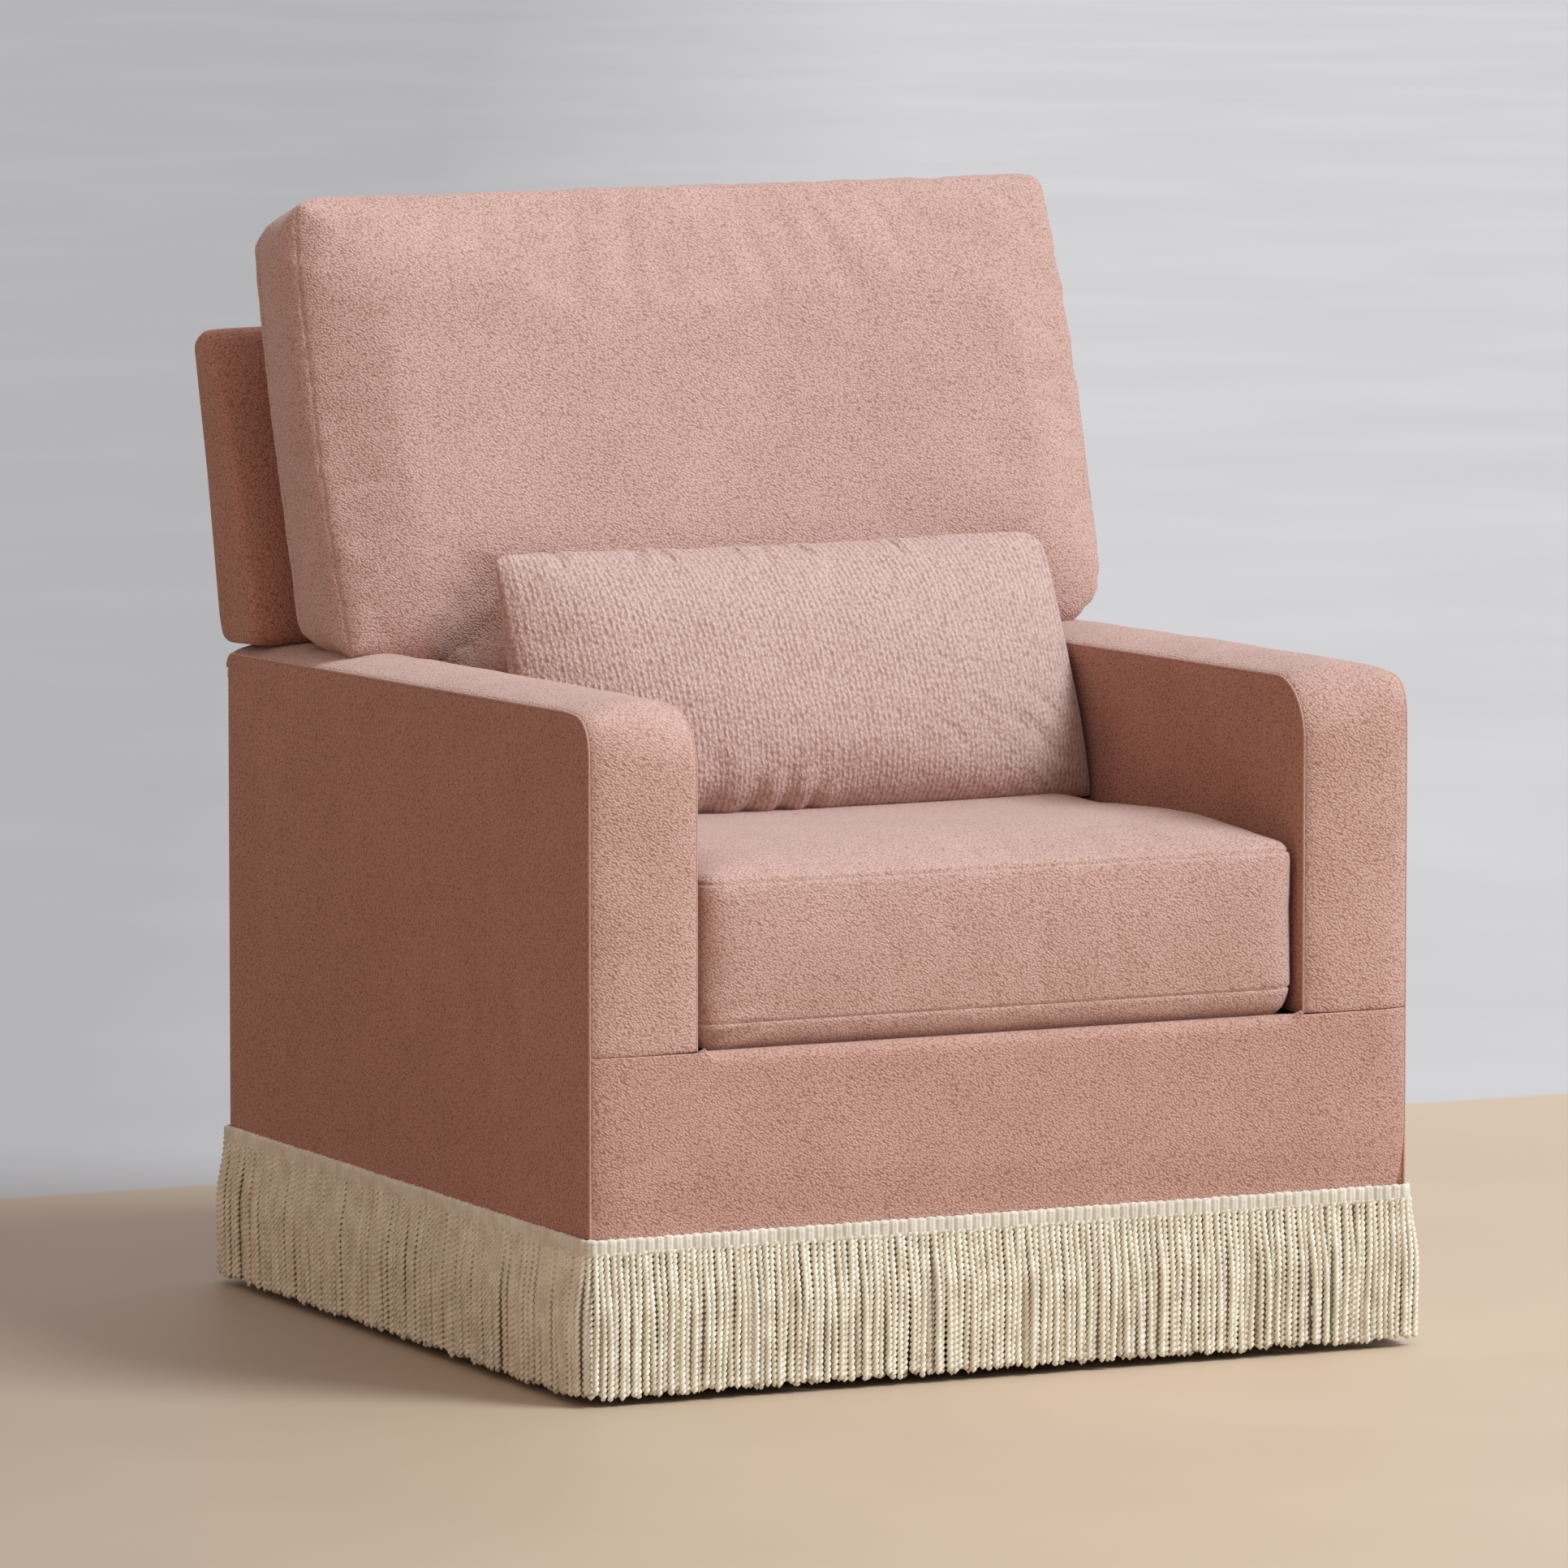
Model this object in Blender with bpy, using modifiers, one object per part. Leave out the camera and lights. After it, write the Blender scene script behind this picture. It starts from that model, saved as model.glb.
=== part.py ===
"""A swivel glider nursery chair: an upholstered box seat with loose cushions and a bullion fringe,
hung on four glide links above a round swivel base. Metres, +Z up, the chair faces -Y, the floor is z = 0.

Places below are in chair coordinates, whose origin is on the floor under the middle of the arms, on the
swivel axis. CHAIR_Y moves the whole chair so that its overall box is centred on the origin.
"""

import math

import bmesh
import bpy
from mathutils import Matrix

GAP = 0.0003  # between pieces that touch

# Upholstered body.
HALF_WIDTH = 0.400
HALF_DEPTH = 0.3975
ARM_WIDTH = 0.104
ARM_TOP_FRONT = 0.602
ARM_TOP_BACK = 0.583
ARM_CORNER_R = 0.055
SKIRT_BOTTOM = 0.129
SEAT_Z = 0.300  # top of the seat deck and of the front rail panel
PAD = 0.014  # padded cover over the frame
CHAIR_Y = -0.0292

# Wooden frame.
RAIL = 0.0255
RAIL_Z = (0.134, 0.2845)
POST_DEPTH = 0.040
POST_TOP = 0.5395
ARM_RAIL_TOP = 0.5645
STRETCHER_Y = (0.215, 0.265)
STRETCHER_Z = (0.242, 0.2747)

# Back rest, as a side outline of (y, z).
BACK_REST_OUTLINE = [
    (0.3185, 0.5925), (0.3270, 0.6350), (0.3655, 0.7440), (0.4110, 0.8440),
    (0.4230, 0.8700), (0.4420, 0.8800), (0.4670, 0.8650), (0.4365, 0.7430),
    (0.4090, 0.6120), (0.3990, 0.5880),
]  # fmt: skip

# Loose cushions.
CUSHION_HALF = 0.288
CUSHION_Y = (-0.400, 0.300)
CUSHION_TOP = 0.464
BACK_LEAN = math.radians(18.2)
BACK_SEAM = (0.172, 0.650)  # (y, z) of a point on the back pillow's front seam plane
BACK_PILLOW_DEPTH = (-0.018, 0.148)  # in front of and behind that plane
EAR_HALF = 0.388
EAR_BOTTOM_Z = 0.5915  # the ears lie on the arm tops
PILLOW_TOP = 0.370  # up the lean, from BACK_SEAM
TONGUE_HALF = 0.276
TONGUE_BOTTOM = -0.146
LUMBAR_HALF = 0.279
LUMBAR_CENTRE = (0.052, 0.583)
LUMBAR_OUTLINE = [  # (y, z) from the flattened bottom up the back, over the top and down the front
    (-0.034, 0.4646), (0.064, 0.4646), (0.088, 0.5000), (0.110, 0.5600), (0.128, 0.6200),
    (0.135, 0.6600), (0.122, 0.6880), (0.094, 0.6930), (0.058, 0.6800), (0.020, 0.6400),
    (-0.014, 0.5900), (-0.038, 0.5450), (-0.050, 0.5050), (-0.050, 0.4800),
]  # fmt: skip

# Bullion fringe.
FRINGE_Z = (0.006, 0.144)
FRINGE_THICK = 0.0095

# Swivel base.
FOOT_H = 0.006
FOOT_R = 0.016
RING_R = 0.260
RING_TUBE_R = 0.0125
CROSS_Z = (0.0113, 0.0263)
CROSS_WIDTH = 0.032
CROSS_TIP_ROOM = 0.0016  # the square ends of the arms stop inside the round ring
RACE_R = (0.030, 0.090)
LOWER_RACE_Z = (0.0266, 0.0366)
CAGE_Z = (0.0369, 0.0419)
UPPER_RACE_Z = (0.0422, 0.0517)
BOLT_R = 0.008

# Swivel carriage and glide linkage. Each pivot is at x on both sides.
CARRIAGE_PLATE_Z = (0.052, 0.058)
HANGER_X = (0.172, 0.175)
LINK_X = (0.178, 0.182)
SEAT_RAIL_X = (0.185, 0.188)
SEAT_RAIL_Z = (0.100, 0.2417)
SEAT_RAIL_HALF = 0.300
SEAT_RAIL_FLANGE = 0.027
PIVOT_Y = 0.150
PIVOT_Z = 0.225
LINK_LENGTH = 0.110
LINK_HALF_WIDTH = 0.011
LINK_THROW = math.radians(32)
PIN_R = 0.004
PIN_HOLE_R = 0.0044
STOP_R = 0.006
STOP_REACH = 0.060  # from the pivot to the stop rod

# Seat springs.
SPRING_Z = 0.2815
SPRING_WIRE_R = 0.0021
SPRING_SWING = 0.024
SPRING_WAVES = 10
SPRING_X = (-0.16, 0.0, 0.16)

COLOURS = {  # name: (colour, roughness, metallic)
    "blush_boucle": ((0.56, 0.31, 0.25), 0.92, 0.0),
    "cream_cotton": ((0.72, 0.65, 0.54), 0.90, 0.0),
    "poplar": ((0.62, 0.47, 0.31), 0.65, 0.0),
    "black_steel": ((0.05, 0.05, 0.055), 0.45, 0.6),
    "zinc_steel": ((0.62, 0.62, 0.60), 0.35, 0.9),
    "spring_steel": ((0.33, 0.33, 0.34), 0.40, 0.9),
    "grey_nylon": ((0.30, 0.30, 0.30), 0.55, 0.0),
    "deck_cloth": ((0.46, 0.36, 0.31), 0.95, 0.0),
}

SIDES = (("left", -1), ("right", 1))
ENDS = (("front", -1), ("rear", 1))
origins = {}  # each pivot empty's place in chair coordinates


def clear_scene():
    for thing in list(bpy.data.objects):
        bpy.data.objects.remove(thing, do_unlink=True)


def new_collection(name):
    collection = bpy.data.collections.new(name)
    bpy.context.scene.collection.children.link(collection)
    return collection


def material(name):
    found = bpy.data.materials.get(name)
    if found:
        return found
    colour, roughness, metallic = COLOURS[name]
    made = bpy.data.materials.new(name)
    made.use_nodes = True
    shader = made.node_tree.nodes["Principled BSDF"]
    shader.inputs["Base Color"].default_value = (*colour, 1)
    shader.inputs["Roughness"].default_value = roughness
    shader.inputs["Metallic"].default_value = metallic
    made.diffuse_color = (*colour, 1)
    return made


def pivot(name, place, parent=None):
    """An empty at a joint, for the pieces that move about it."""
    empty = bpy.data.objects.new(name, None)
    parts.objects.link(empty)
    origins[name] = place
    if parent:
        empty.parent = bpy.data.objects[parent]
        empty.location = [a - b for a, b in zip(place, origins[parent])]
    else:
        empty.location = (place[0], place[1] + CHAIR_Y, place[2])


def place_piece(name, data, parent, place, look, rotation=(0, 0, 0)):
    """One sub-part at a place in chair coordinates, held by its body's pivot."""
    piece = bpy.data.objects.new(name, data)
    parts.objects.link(piece)
    piece.parent = bpy.data.objects[parent]
    piece.location = [a - b for a, b in zip(place, origins[parent])]
    piece.rotation_euler = rotation
    data.materials.append(material(look))
    return piece


def add_bevel(piece, width, segments=3):
    bevel = piece.modifiers.new("Rounding", "BEVEL")
    bevel.width = width
    bevel.segments = segments
    bevel.limit_method = "ANGLE"
    bevel.angle_limit = math.radians(40)


def add_weld(piece):
    weld = piece.modifiers.new("Weld caps", "WELD")
    weld.merge_threshold = 0.00005


def block(name, parent, look, x, y, z, bevel=0, segments=3, rotation=(0, 0, 0)):
    """A box between the given limits, turned about its own middle."""
    shape = bmesh.new()
    bmesh.ops.create_cube(shape, size=1)
    spans = [high - low for low, high in (x, y, z)]
    bmesh.ops.transform(shape, matrix=Matrix.Diagonal((*spans, 1)), verts=shape.verts)
    mesh = bpy.data.meshes.new(name)
    shape.to_mesh(mesh)
    shape.free()
    middle = [(low + high) / 2 for low, high in (x, y, z)]
    piece = place_piece(name, mesh, parent, middle, look, rotation)
    if bevel:
        add_bevel(piece, bevel, segments)
    return piece


def circle(centre, radius, sides=16):
    steps = [2 * math.pi * i / sides for i in range(sides)]
    return [(centre[0] + radius * math.cos(a), centre[1] + radius * math.sin(a)) for a in steps]


def arc(centre, radius, start, end, steps=6):
    angles = [math.radians(start + (end - start) * i / steps) for i in range(steps + 1)]
    return [(centre[0] + radius * math.cos(a), centre[1] + radius * math.sin(a)) for a in angles]


def flat_curve(name, outlines, thickness):
    curve = bpy.data.curves.new(name, "CURVE")
    curve.dimensions = "2D"
    curve.fill_mode = "BOTH"
    curve.extrude = thickness / 2
    for outline in outlines:
        spline = curve.splines.new("POLY")
        spline.points.add(len(outline) - 1)
        for point, (u, v) in zip(spline.points, outline):
            point.co = (u, v, 0, 1)
        spline.use_cyclic_u = True
    return curve


def side_plate(name, parent, look, x, outlines, bevel=0):
    """A plate whose outlines are (y, z) in chair coordinates, from x[0] to x[1]. The first is its edge and
    the others are holes."""
    curve = flat_curve(name, outlines, x[1] - x[0])
    place = ((x[0] + x[1]) / 2, 0, 0)
    piece = place_piece(name, curve, parent, place, look, (math.pi / 2, 0, math.pi / 2))
    if bevel:
        add_weld(piece)
        add_bevel(piece, bevel)
    return piece


def floor_plate(name, parent, look, z, outlines):
    """A plate whose outlines are (x, y), from z[0] to z[1]."""
    curve = flat_curve(name, outlines, z[1] - z[0])
    return place_piece(name, curve, parent, (0, 0, (z[0] + z[1]) / 2), look)


def turned(name, parent, look, place, profile, rotation=(0, 0, 0), steps=24):
    """A turned piece from a profile of (radius, height), from the top down its outer side."""
    mesh = bpy.data.meshes.new(name)
    closed = profile[0][0] > 0
    points = [(r, 0, h) for r, h in profile]
    edges = [(i, i + 1) for i in range(len(points) - 1)]
    if closed:
        edges.append((len(points) - 1, 0))
    mesh.from_pydata(points, edges, [])
    piece = place_piece(name, mesh, parent, place, look, rotation)
    screw = piece.modifiers.new("Turn", "SCREW")
    screw.steps = screw.render_steps = steps
    screw.use_merge_vertices = True
    screw.merge_threshold = 0.00001
    return piece


def rod(name, parent, look, place, radius, length, rotation=(0, math.pi / 2, 0), steps=16):
    half = length / 2
    profile = [(0, half), (radius, half), (radius, -half), (0, -half)]
    return turned(name, parent, look, place, profile, rotation, steps)


def mirrored(span, side):
    """A span of x on the side given by its sign, low first."""
    return tuple(sorted(side * value for value in span))


def arm_top(y):
    """Height of the arm's top behind its front corner."""
    start = -HALF_DEPTH + ARM_CORNER_R
    share = (y - start) / (HALF_DEPTH - start)
    return ARM_TOP_FRONT + (ARM_TOP_BACK - ARM_TOP_FRONT) * share


def arm_corner(inset):
    """The rounded front top corner of an arm, this far inside its outer face."""
    centre = (-HALF_DEPTH + ARM_CORNER_R, ARM_TOP_FRONT - ARM_CORNER_R)
    return arc(centre, ARM_CORNER_R - inset, 180, 90)


def arm_filling(front, back, bottom):
    """Side outline of a panel that lies inside the arm's boxing."""
    inset = PAD + GAP
    top = [(y, z) for y, z in arm_corner(inset) if y >= front]
    return [(front, bottom), *top, (back, arm_top(back) - inset), (back, bottom)]


def build_base():
    pivot("base", (0, 0, 0))
    bpy.ops.mesh.primitive_torus_add(
        major_radius=RING_R, minor_radius=RING_TUBE_R, major_segments=48, minor_segments=8
    )
    ring_mesh = bpy.context.object.data
    bpy.data.objects.remove(bpy.context.object)
    ring_mesh.name = "floor_ring"
    ring_bottom = FOOT_H + GAP
    place_piece("floor_ring", ring_mesh, "base", (0, 0, ring_bottom + RING_TUBE_R), "black_steel")

    for end, along in ENDS:
        for side, across in SIDES:
            reach = RING_R / math.sqrt(2)
            place = (across * reach, along * reach, FOOT_H / 2)
            rod(f"floor_pad_{end}_{side}", "base", "grey_nylon", place, FOOT_R, FOOT_H, (0, 0, 0))

    tip = RING_R - RING_TUBE_R - CROSS_TIP_ROOM
    half = CROSS_WIDTH / 2
    cross = []
    for across, along in ((1, 0), (0, 1), (-1, 0), (0, -1)):
        for reach, aside in ((half, -half), (tip, -half), (tip, half)):
            cross.append((reach * across - aside * along, reach * along + aside * across))
    floor_plate("base_cross", "base", "black_steel", CROSS_Z, [cross])

    inner, outer = RACE_R
    low, high = LOWER_RACE_Z
    lower_race = [(inner, high), (outer, high), (outer, low), (inner, low)]
    turned("bearing_lower_race", "base", "zinc_steel", (0, 0, 0), lower_race)
    low, high = CAGE_Z
    cage = [(0.075, high), (0.075, low), (0.058, low), (0.058, high)]
    turned("bearing_ball_cage", "base", "grey_nylon", (0, 0, 0), cage)

    nut_low = CARRIAGE_PLATE_Z[1] + 2 * GAP
    flange_top = LOWER_RACE_Z[0] + 0.004
    bolt = [
        (0, nut_low + 0.010),
        (0.014, nut_low + 0.010),
        (0.014, nut_low),
        (BOLT_R, nut_low),
        (BOLT_R, flange_top),
        (0.026, flange_top),
        (0.026, LOWER_RACE_Z[0]),
        (0, LOWER_RACE_Z[0]),
    ]
    turned("swivel_bolt", "base", "zinc_steel", (0, 0, 0), bolt)


def build_carriage():
    pivot("swivel_axis", (0, 0, 0), "base")
    inner, outer = RACE_R
    low, high = UPPER_RACE_Z
    upper_race = [(inner, high), (outer, high), (outer, low), (inner, low)]
    turned("bearing_upper_race", "swivel_axis", "zinc_steel", (0, 0, 0), upper_race)

    across = HANGER_X[0] - GAP
    deep = 0.110
    plate = [(-across, -deep), (across, -deep), (across, deep), (-across, deep)]
    bolt_hole = circle((0, 0), BOLT_R + 4 * GAP)
    outlines = [plate, bolt_hole]
    floor_plate("carriage_plate", "swivel_axis", "black_steel", CARRIAGE_PLATE_Z, outlines)

    # A link at full throw leans on its stop rod.
    lean = LINK_THROW + math.asin((LINK_HALF_WIDTH + STOP_R + GAP) / STOP_REACH)
    stop_y = PIVOT_Y + STOP_REACH * math.sin(lean)
    stop_z = PIVOT_Z - STOP_REACH * math.cos(lean)

    low, high = CARRIAGE_PLATE_Z[0], STRETCHER_Z[0] - 0.0015
    half = stop_y + 0.018
    shoulder = PIVOT_Y + 0.025
    shape = [
        (-half, low), (half, low), (half, high - 0.035), (shoulder, high),
        (-shoulder, high), (-half, high - 0.035),
    ]  # fmt: skip
    holes = [circle((along * PIVOT_Y, PIVOT_Z), PIN_HOLE_R) for _, along in ENDS]
    holes += [circle((along * stop_y, stop_z), STOP_R + 2 * GAP) for _, along in ENDS]
    for side, across in SIDES:
        span = mirrored(HANGER_X, across)
        side_plate(f"hanger_plate_{side}", "swivel_axis", "black_steel", span, [shape, *holes])

    reach = 2 * (SEAT_RAIL_X[0] - 0.001)
    for end, along in ENDS:
        place = (0, along * PIVOT_Y, PIVOT_Z)
        rod(f"pivot_rod_{end}", "swivel_axis", "zinc_steel", place, PIN_R, reach)
        place = (0, along * stop_y, stop_z)
        rod(f"stop_rod_{end}", "swivel_axis", "grey_nylon", place, STOP_R, reach)


def build_links():
    outline = arc((0, 0), LINK_HALF_WIDTH, 0, 180, 8)
    outline += arc((0, -LINK_LENGTH), LINK_HALF_WIDTH, 180, 360, 8)
    holes = [circle((0, 0), PIN_HOLE_R), circle((0, -LINK_LENGTH), PIN_HOLE_R)]
    for end, along in ENDS:
        parent = f"{end}_link_axis"
        pivot(parent, (0, along * PIVOT_Y, PIVOT_Z), "swivel_axis")
        for side, across in SIDES:
            curve = flat_curve(f"glide_link_{end}_{side}", [outline, *holes], LINK_X[1] - LINK_X[0])
            place = (across * sum(LINK_X) / 2, along * PIVOT_Y, PIVOT_Z)
            turn = (math.pi / 2, 0, math.pi / 2)
            place_piece(curve.name, curve, parent, place, "black_steel", turn)


def build_seat_rails():
    """Steel angle rails that carry the wooden frame on the links' lower pins."""
    pin_z = PIVOT_Z - LINK_LENGTH
    wall, flange = SEAT_RAIL_X, SEAT_RAIL_FLANGE
    low, high = SEAT_RAIL_Z
    for side, across in SIDES:
        section = [
            (wall[0], low), (wall[1], low), (wall[1], high - 0.003),
            (wall[1] + flange, high - 0.003), (wall[1] + flange, high), (wall[0], high),
        ]  # fmt: skip
        section = [(across * x, z) for x, z in section]
        curve = flat_curve("rail_shape", [section], 2 * SEAT_RAIL_HALF)
        uncut = bpy.data.objects.new("rail_shape", curve)
        parts.objects.link(uncut)
        bpy.context.view_layer.update()
        seen = uncut.evaluated_get(bpy.context.evaluated_depsgraph_get())
        mesh = bpy.data.meshes.new_from_object(seen)
        mesh.materials.clear()
        bpy.data.objects.remove(uncut)
        weld_caps(mesh)
        rail = place_piece(
            f"seat_rail_{side}", mesh, "seat_level_axis", (0, 0, 0), "black_steel", (math.pi / 2, 0, 0)
        )
        for end, along in ENDS:
            centre = (across * sum(wall) / 2, along * PIVOT_Y, pin_z)
            drill(rail, f"pin_hole_{end}_{side}", centre)

            head, shank = SEAT_RAIL_X[1] + GAP, LINK_X[0] - 0.0015
            profile = [
                (0, head + 0.003), (0.007, head + 0.003), (0.007, head), (PIN_R, head),
                (PIN_R, shank), (0, shank),
            ]  # fmt: skip
            place = (0, along * PIVOT_Y, pin_z)
            turn = (0, across * math.pi / 2, 0)
            turned(f"glide_pin_{end}_{side}", "seat_level_axis", "zinc_steel", place, profile, turn, 16)


def weld_caps(mesh):
    shape = bmesh.new()
    shape.from_mesh(mesh)
    bmesh.ops.remove_doubles(shape, verts=shape.verts, dist=0.00005)
    bmesh.ops.recalc_face_normals(shape, faces=shape.faces)
    shape.to_mesh(mesh)
    shape.free()


def drill(piece, name, centre):
    """Cuts a pin hole along X through a piece."""
    shape = bmesh.new()
    bmesh.ops.create_cone(
        shape, cap_ends=True, segments=16, radius1=PIN_HOLE_R, radius2=PIN_HOLE_R, depth=0.012
    )
    mesh = bpy.data.meshes.new(name)
    shape.to_mesh(mesh)
    shape.free()
    cutter = bpy.data.objects.new(name, mesh)
    cutters.objects.link(cutter)
    cutter.parent = piece.parent
    cutter.location = [a - b for a, b in zip(centre, origins[piece.parent.name])]
    cutter.rotation_euler = (0, math.pi / 2, 0)
    cutter.hide_render = True
    cutter.display_type = "WIRE"
    cut = piece.modifiers.new(name, "BOOLEAN")
    cut.operation = "DIFFERENCE"
    cut.solver = "EXACT"
    cut.object = cutter


def build_frame():
    """The wooden frame inside the upholstery, and the seat springs."""
    seat = "seat_level_axis"
    front = -HALF_DEPTH + PAD + GAP
    side = HALF_WIDTH - 0.012 - GAP
    for name, y in (("front_rail", (front, front + RAIL)), ("back_rail", (-front - RAIL, -front))):
        block(name, seat, "poplar", (-side, side), y, RAIL_Z)
    for name, across in SIDES:
        x = mirrored((side - RAIL, side), across)
        span = front + RAIL + GAP
        block(f"side_rail_{name}", seat, "poplar", x, (span, -span), RAIL_Z)
    reach = side - RAIL - GAP
    for end, along in ENDS:
        y = mirrored(STRETCHER_Y, along)
        block(f"stretcher_{end}", seat, "poplar", (-reach, reach), y, STRETCHER_Z)

    inner = HALF_WIDTH - ARM_WIDTH + 0.012 + GAP
    post_z = (RAIL_Z[1] + GAP, POST_TOP)
    rail_z = (POST_TOP + GAP, ARM_RAIL_TOP)
    for name, across in SIDES:
        x = mirrored((inner, side), across)
        block(f"arm_front_post_{name}", seat, "poplar", x, (front, front + POST_DEPTH), post_z)
        block(f"back_post_{name}", seat, "poplar", x, (-front - POST_DEPTH, -front), post_z)
        block(f"arm_top_rail_{name}", seat, "poplar", x, (front + POST_DEPTH, -front), rail_z)

    reach = -front - RAIL - GAP - SPRING_WIRE_R
    count = 6 * SPRING_WAVES
    for number, x in enumerate(SPRING_X, 1):
        points = []
        for i in range(count + 1):
            swing = SPRING_SWING * math.sin(2 * math.pi * SPRING_WAVES * i / count)
            points.append((swing, reach * (2 * i / count - 1), 0))
        wire(f"seat_spring_{number}", seat, "spring_steel", (x, 0, SPRING_Z), points, SPRING_WIRE_R)


def wire(name, parent, look, place, points, radius):
    curve = bpy.data.curves.new(name, "CURVE")
    curve.dimensions = "3D"
    curve.bevel_depth = radius
    curve.bevel_resolution = 1
    curve.use_fill_caps = True
    spline = curve.splines.new("POLY")
    spline.points.add(len(points) - 1)
    for point, (x, y, z) in zip(spline.points, points):
        point.co = (x, y, z, 1)
    return place_piece(name, curve, parent, place, look)


def build_upholstery():
    """The padded covers of the frame: arms, front, back, deck and back rest."""
    seat = "seat_level_axis"
    look = "blush_boucle"
    front = -HALF_DEPTH + PAD + GAP
    panel = 0.012
    boxing_bottom = SEAT_Z + GAP
    wide, deep = (-HALF_WIDTH, HALF_WIDTH), (-HALF_DEPTH, front - GAP)
    block("front_panel", seat, look, wide, deep, (SKIRT_BOTTOM, SEAT_Z))

    for name, across in SIDES:
        outer_x = mirrored((HALF_WIDTH - panel, HALF_WIDTH), across)
        outline = arm_filling(front, -front, SKIRT_BOTTOM)
        side_plate(f"arm_outer_panel_{name}", seat, look, outer_x, [outline])
        inner_x = mirrored((HALF_WIDTH - ARM_WIDTH, HALF_WIDTH - ARM_WIDTH + panel), across)
        outline = arm_filling(front, -front, boxing_bottom)
        side_plate(f"arm_inner_panel_{name}", seat, look, inner_x, [outline])

        over = [(-HALF_DEPTH, boxing_bottom), *arm_corner(0), (HALF_DEPTH, arm_top(HALF_DEPTH))]
        under = [(front - GAP, boxing_bottom), *arm_corner(PAD), (HALF_DEPTH, arm_top(HALF_DEPTH) - PAD)]
        boxing_x = mirrored((HALF_WIDTH - ARM_WIDTH, HALF_WIDTH), across)
        side_plate(f"arm_boxing_{name}", seat, look, boxing_x, [over + under[::-1]])

    # The outside back fills the width under the arm tops and reaches the back rest between them.
    shoulder = arm_top(HALF_DEPTH) - PAD - 3 * GAP
    between = HALF_WIDTH - ARM_WIDTH - GAP
    back_top = BACK_REST_OUTLINE[-1][1] - 3 * GAP
    outline = [
        (-HALF_WIDTH, SKIRT_BOTTOM), (HALF_WIDTH, SKIRT_BOTTOM), (HALF_WIDTH, shoulder),
        (between, shoulder), (between, back_top), (-between, back_top), (-between, shoulder),
        (-HALF_WIDTH, shoulder),
    ]  # fmt: skip
    curve = flat_curve("back_panel", [outline], PAD)
    place_piece("back_panel", curve, seat, (0, HALF_DEPTH - PAD / 2, 0), look, (math.pi / 2, 0, 0))

    inside_x = (-between, between)
    inside = [
        (0.3055, boxing_bottom), (0.3185, BACK_REST_OUTLINE[0][1] - 0.006),
        (0.3325, BACK_REST_OUTLINE[0][1] - 0.006), (0.3195, boxing_bottom),
    ]  # fmt: skip
    side_plate("inside_back_panel", seat, look, inside_x, [inside])
    deck_z = (SEAT_Z - 0.012, SEAT_Z)
    block("seat_deck", seat, "deck_cloth", inside_x, (front, -front), deck_z)
    side_plate("back_rest", seat, look, (-HALF_WIDTH, HALF_WIDTH), [BACK_REST_OUTLINE], 0.006)


def build_cushions():
    seat = "seat_level_axis"
    look = "blush_boucle"
    span = (-CUSHION_HALF, CUSHION_HALF)
    block("seat_cushion", seat, look, span, CUSHION_Y, (SEAT_Z + GAP, CUSHION_TOP), 0.024, 4)

    build_back_pillow(seat, look)
    pivot("lumbar_axis", (0, *LUMBAR_CENTRE), seat)
    x = (-LUMBAR_HALF, LUMBAR_HALF)
    side_plate("lumbar_pillow", "lumbar_axis", look, x, [LUMBAR_OUTLINE], 0.012)


def build_back_pillow(parent, look):
    """A leaning T: ears whose undersides follow the arm tops, and a tongue between the arms."""
    rise, run = math.cos(BACK_LEAN), math.sin(BACK_LEAN)
    points = []
    for deep in BACK_PILLOW_DEPTH:
        ear_low = (EAR_BOTTOM_Z - BACK_SEAM[1] + deep * run) / rise
        half = [
            (TONGUE_HALF, TONGUE_BOTTOM), (TONGUE_HALF, ear_low), (EAR_HALF, ear_low),
            (EAR_HALF, PILLOW_TOP),
        ]  # fmt: skip
        for x, up in half + [(-x, up) for x, up in reversed(half)]:
            y = BACK_SEAM[0] + up * run + deep * rise
            points.append((x, y, BACK_SEAM[1] + up * rise - deep * run))
    count = len(points) // 2
    faces = [tuple(range(count)), tuple(range(count, 2 * count))]
    faces += [(i, (i + 1) % count, count + (i + 1) % count, count + i) for i in range(count)]
    mesh = bpy.data.meshes.new("back_pillow")
    mesh.from_pydata(points, [], faces)
    weld_caps(mesh)
    pillow = place_piece("back_pillow", mesh, parent, (0, 0, 0), look)
    add_bevel(pillow, 0.018)


def build_fringe():
    seat = "seat_level_axis"
    look = "cream_cotton"
    side = HALF_WIDTH + GAP
    end = HALF_DEPTH + GAP
    wide = side + FRINGE_THICK
    for name, along in (("front", -1), ("back", 1)):
        y = mirrored((end, end + FRINGE_THICK), along)
        block(f"fringe_{name}", seat, look, (-wide, wide), y, FRINGE_Z)
    for name, across in SIDES:
        x = mirrored((side, wide), across)
        block(f"fringe_{name}", seat, look, x, (-HALF_DEPTH, HALF_DEPTH), FRINGE_Z)


clear_scene()
parts = new_collection("glider_nursery_chair")
cutters = new_collection("cutters")
build_base()
build_carriage()
build_links()
pivot("seat_level_axis", (0, -PIVOT_Y, PIVOT_Z - LINK_LENGTH), "front_link_axis")
build_seat_rails()
build_frame()
build_upholstery()
build_cushions()
build_fringe()
for piece in parts.objects:
    if piece.type == "MESH":
        piece.data.shade_smooth()
        piece.data.set_sharp_from_angle(angle=math.radians(35))
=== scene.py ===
"""Looks of the glider nursery chair: padded covers over the frame, stuffed cushions, bullion fringe.

Metres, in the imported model's frame: +Z up, the chair faces -Y. Every piece is built in place around the
CAD nodes that it stands for, and rides on their body.
"""

import contextlib
import random
from math import copysign, cos, exp, hypot, pi, radians, sin, sqrt, tan

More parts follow.
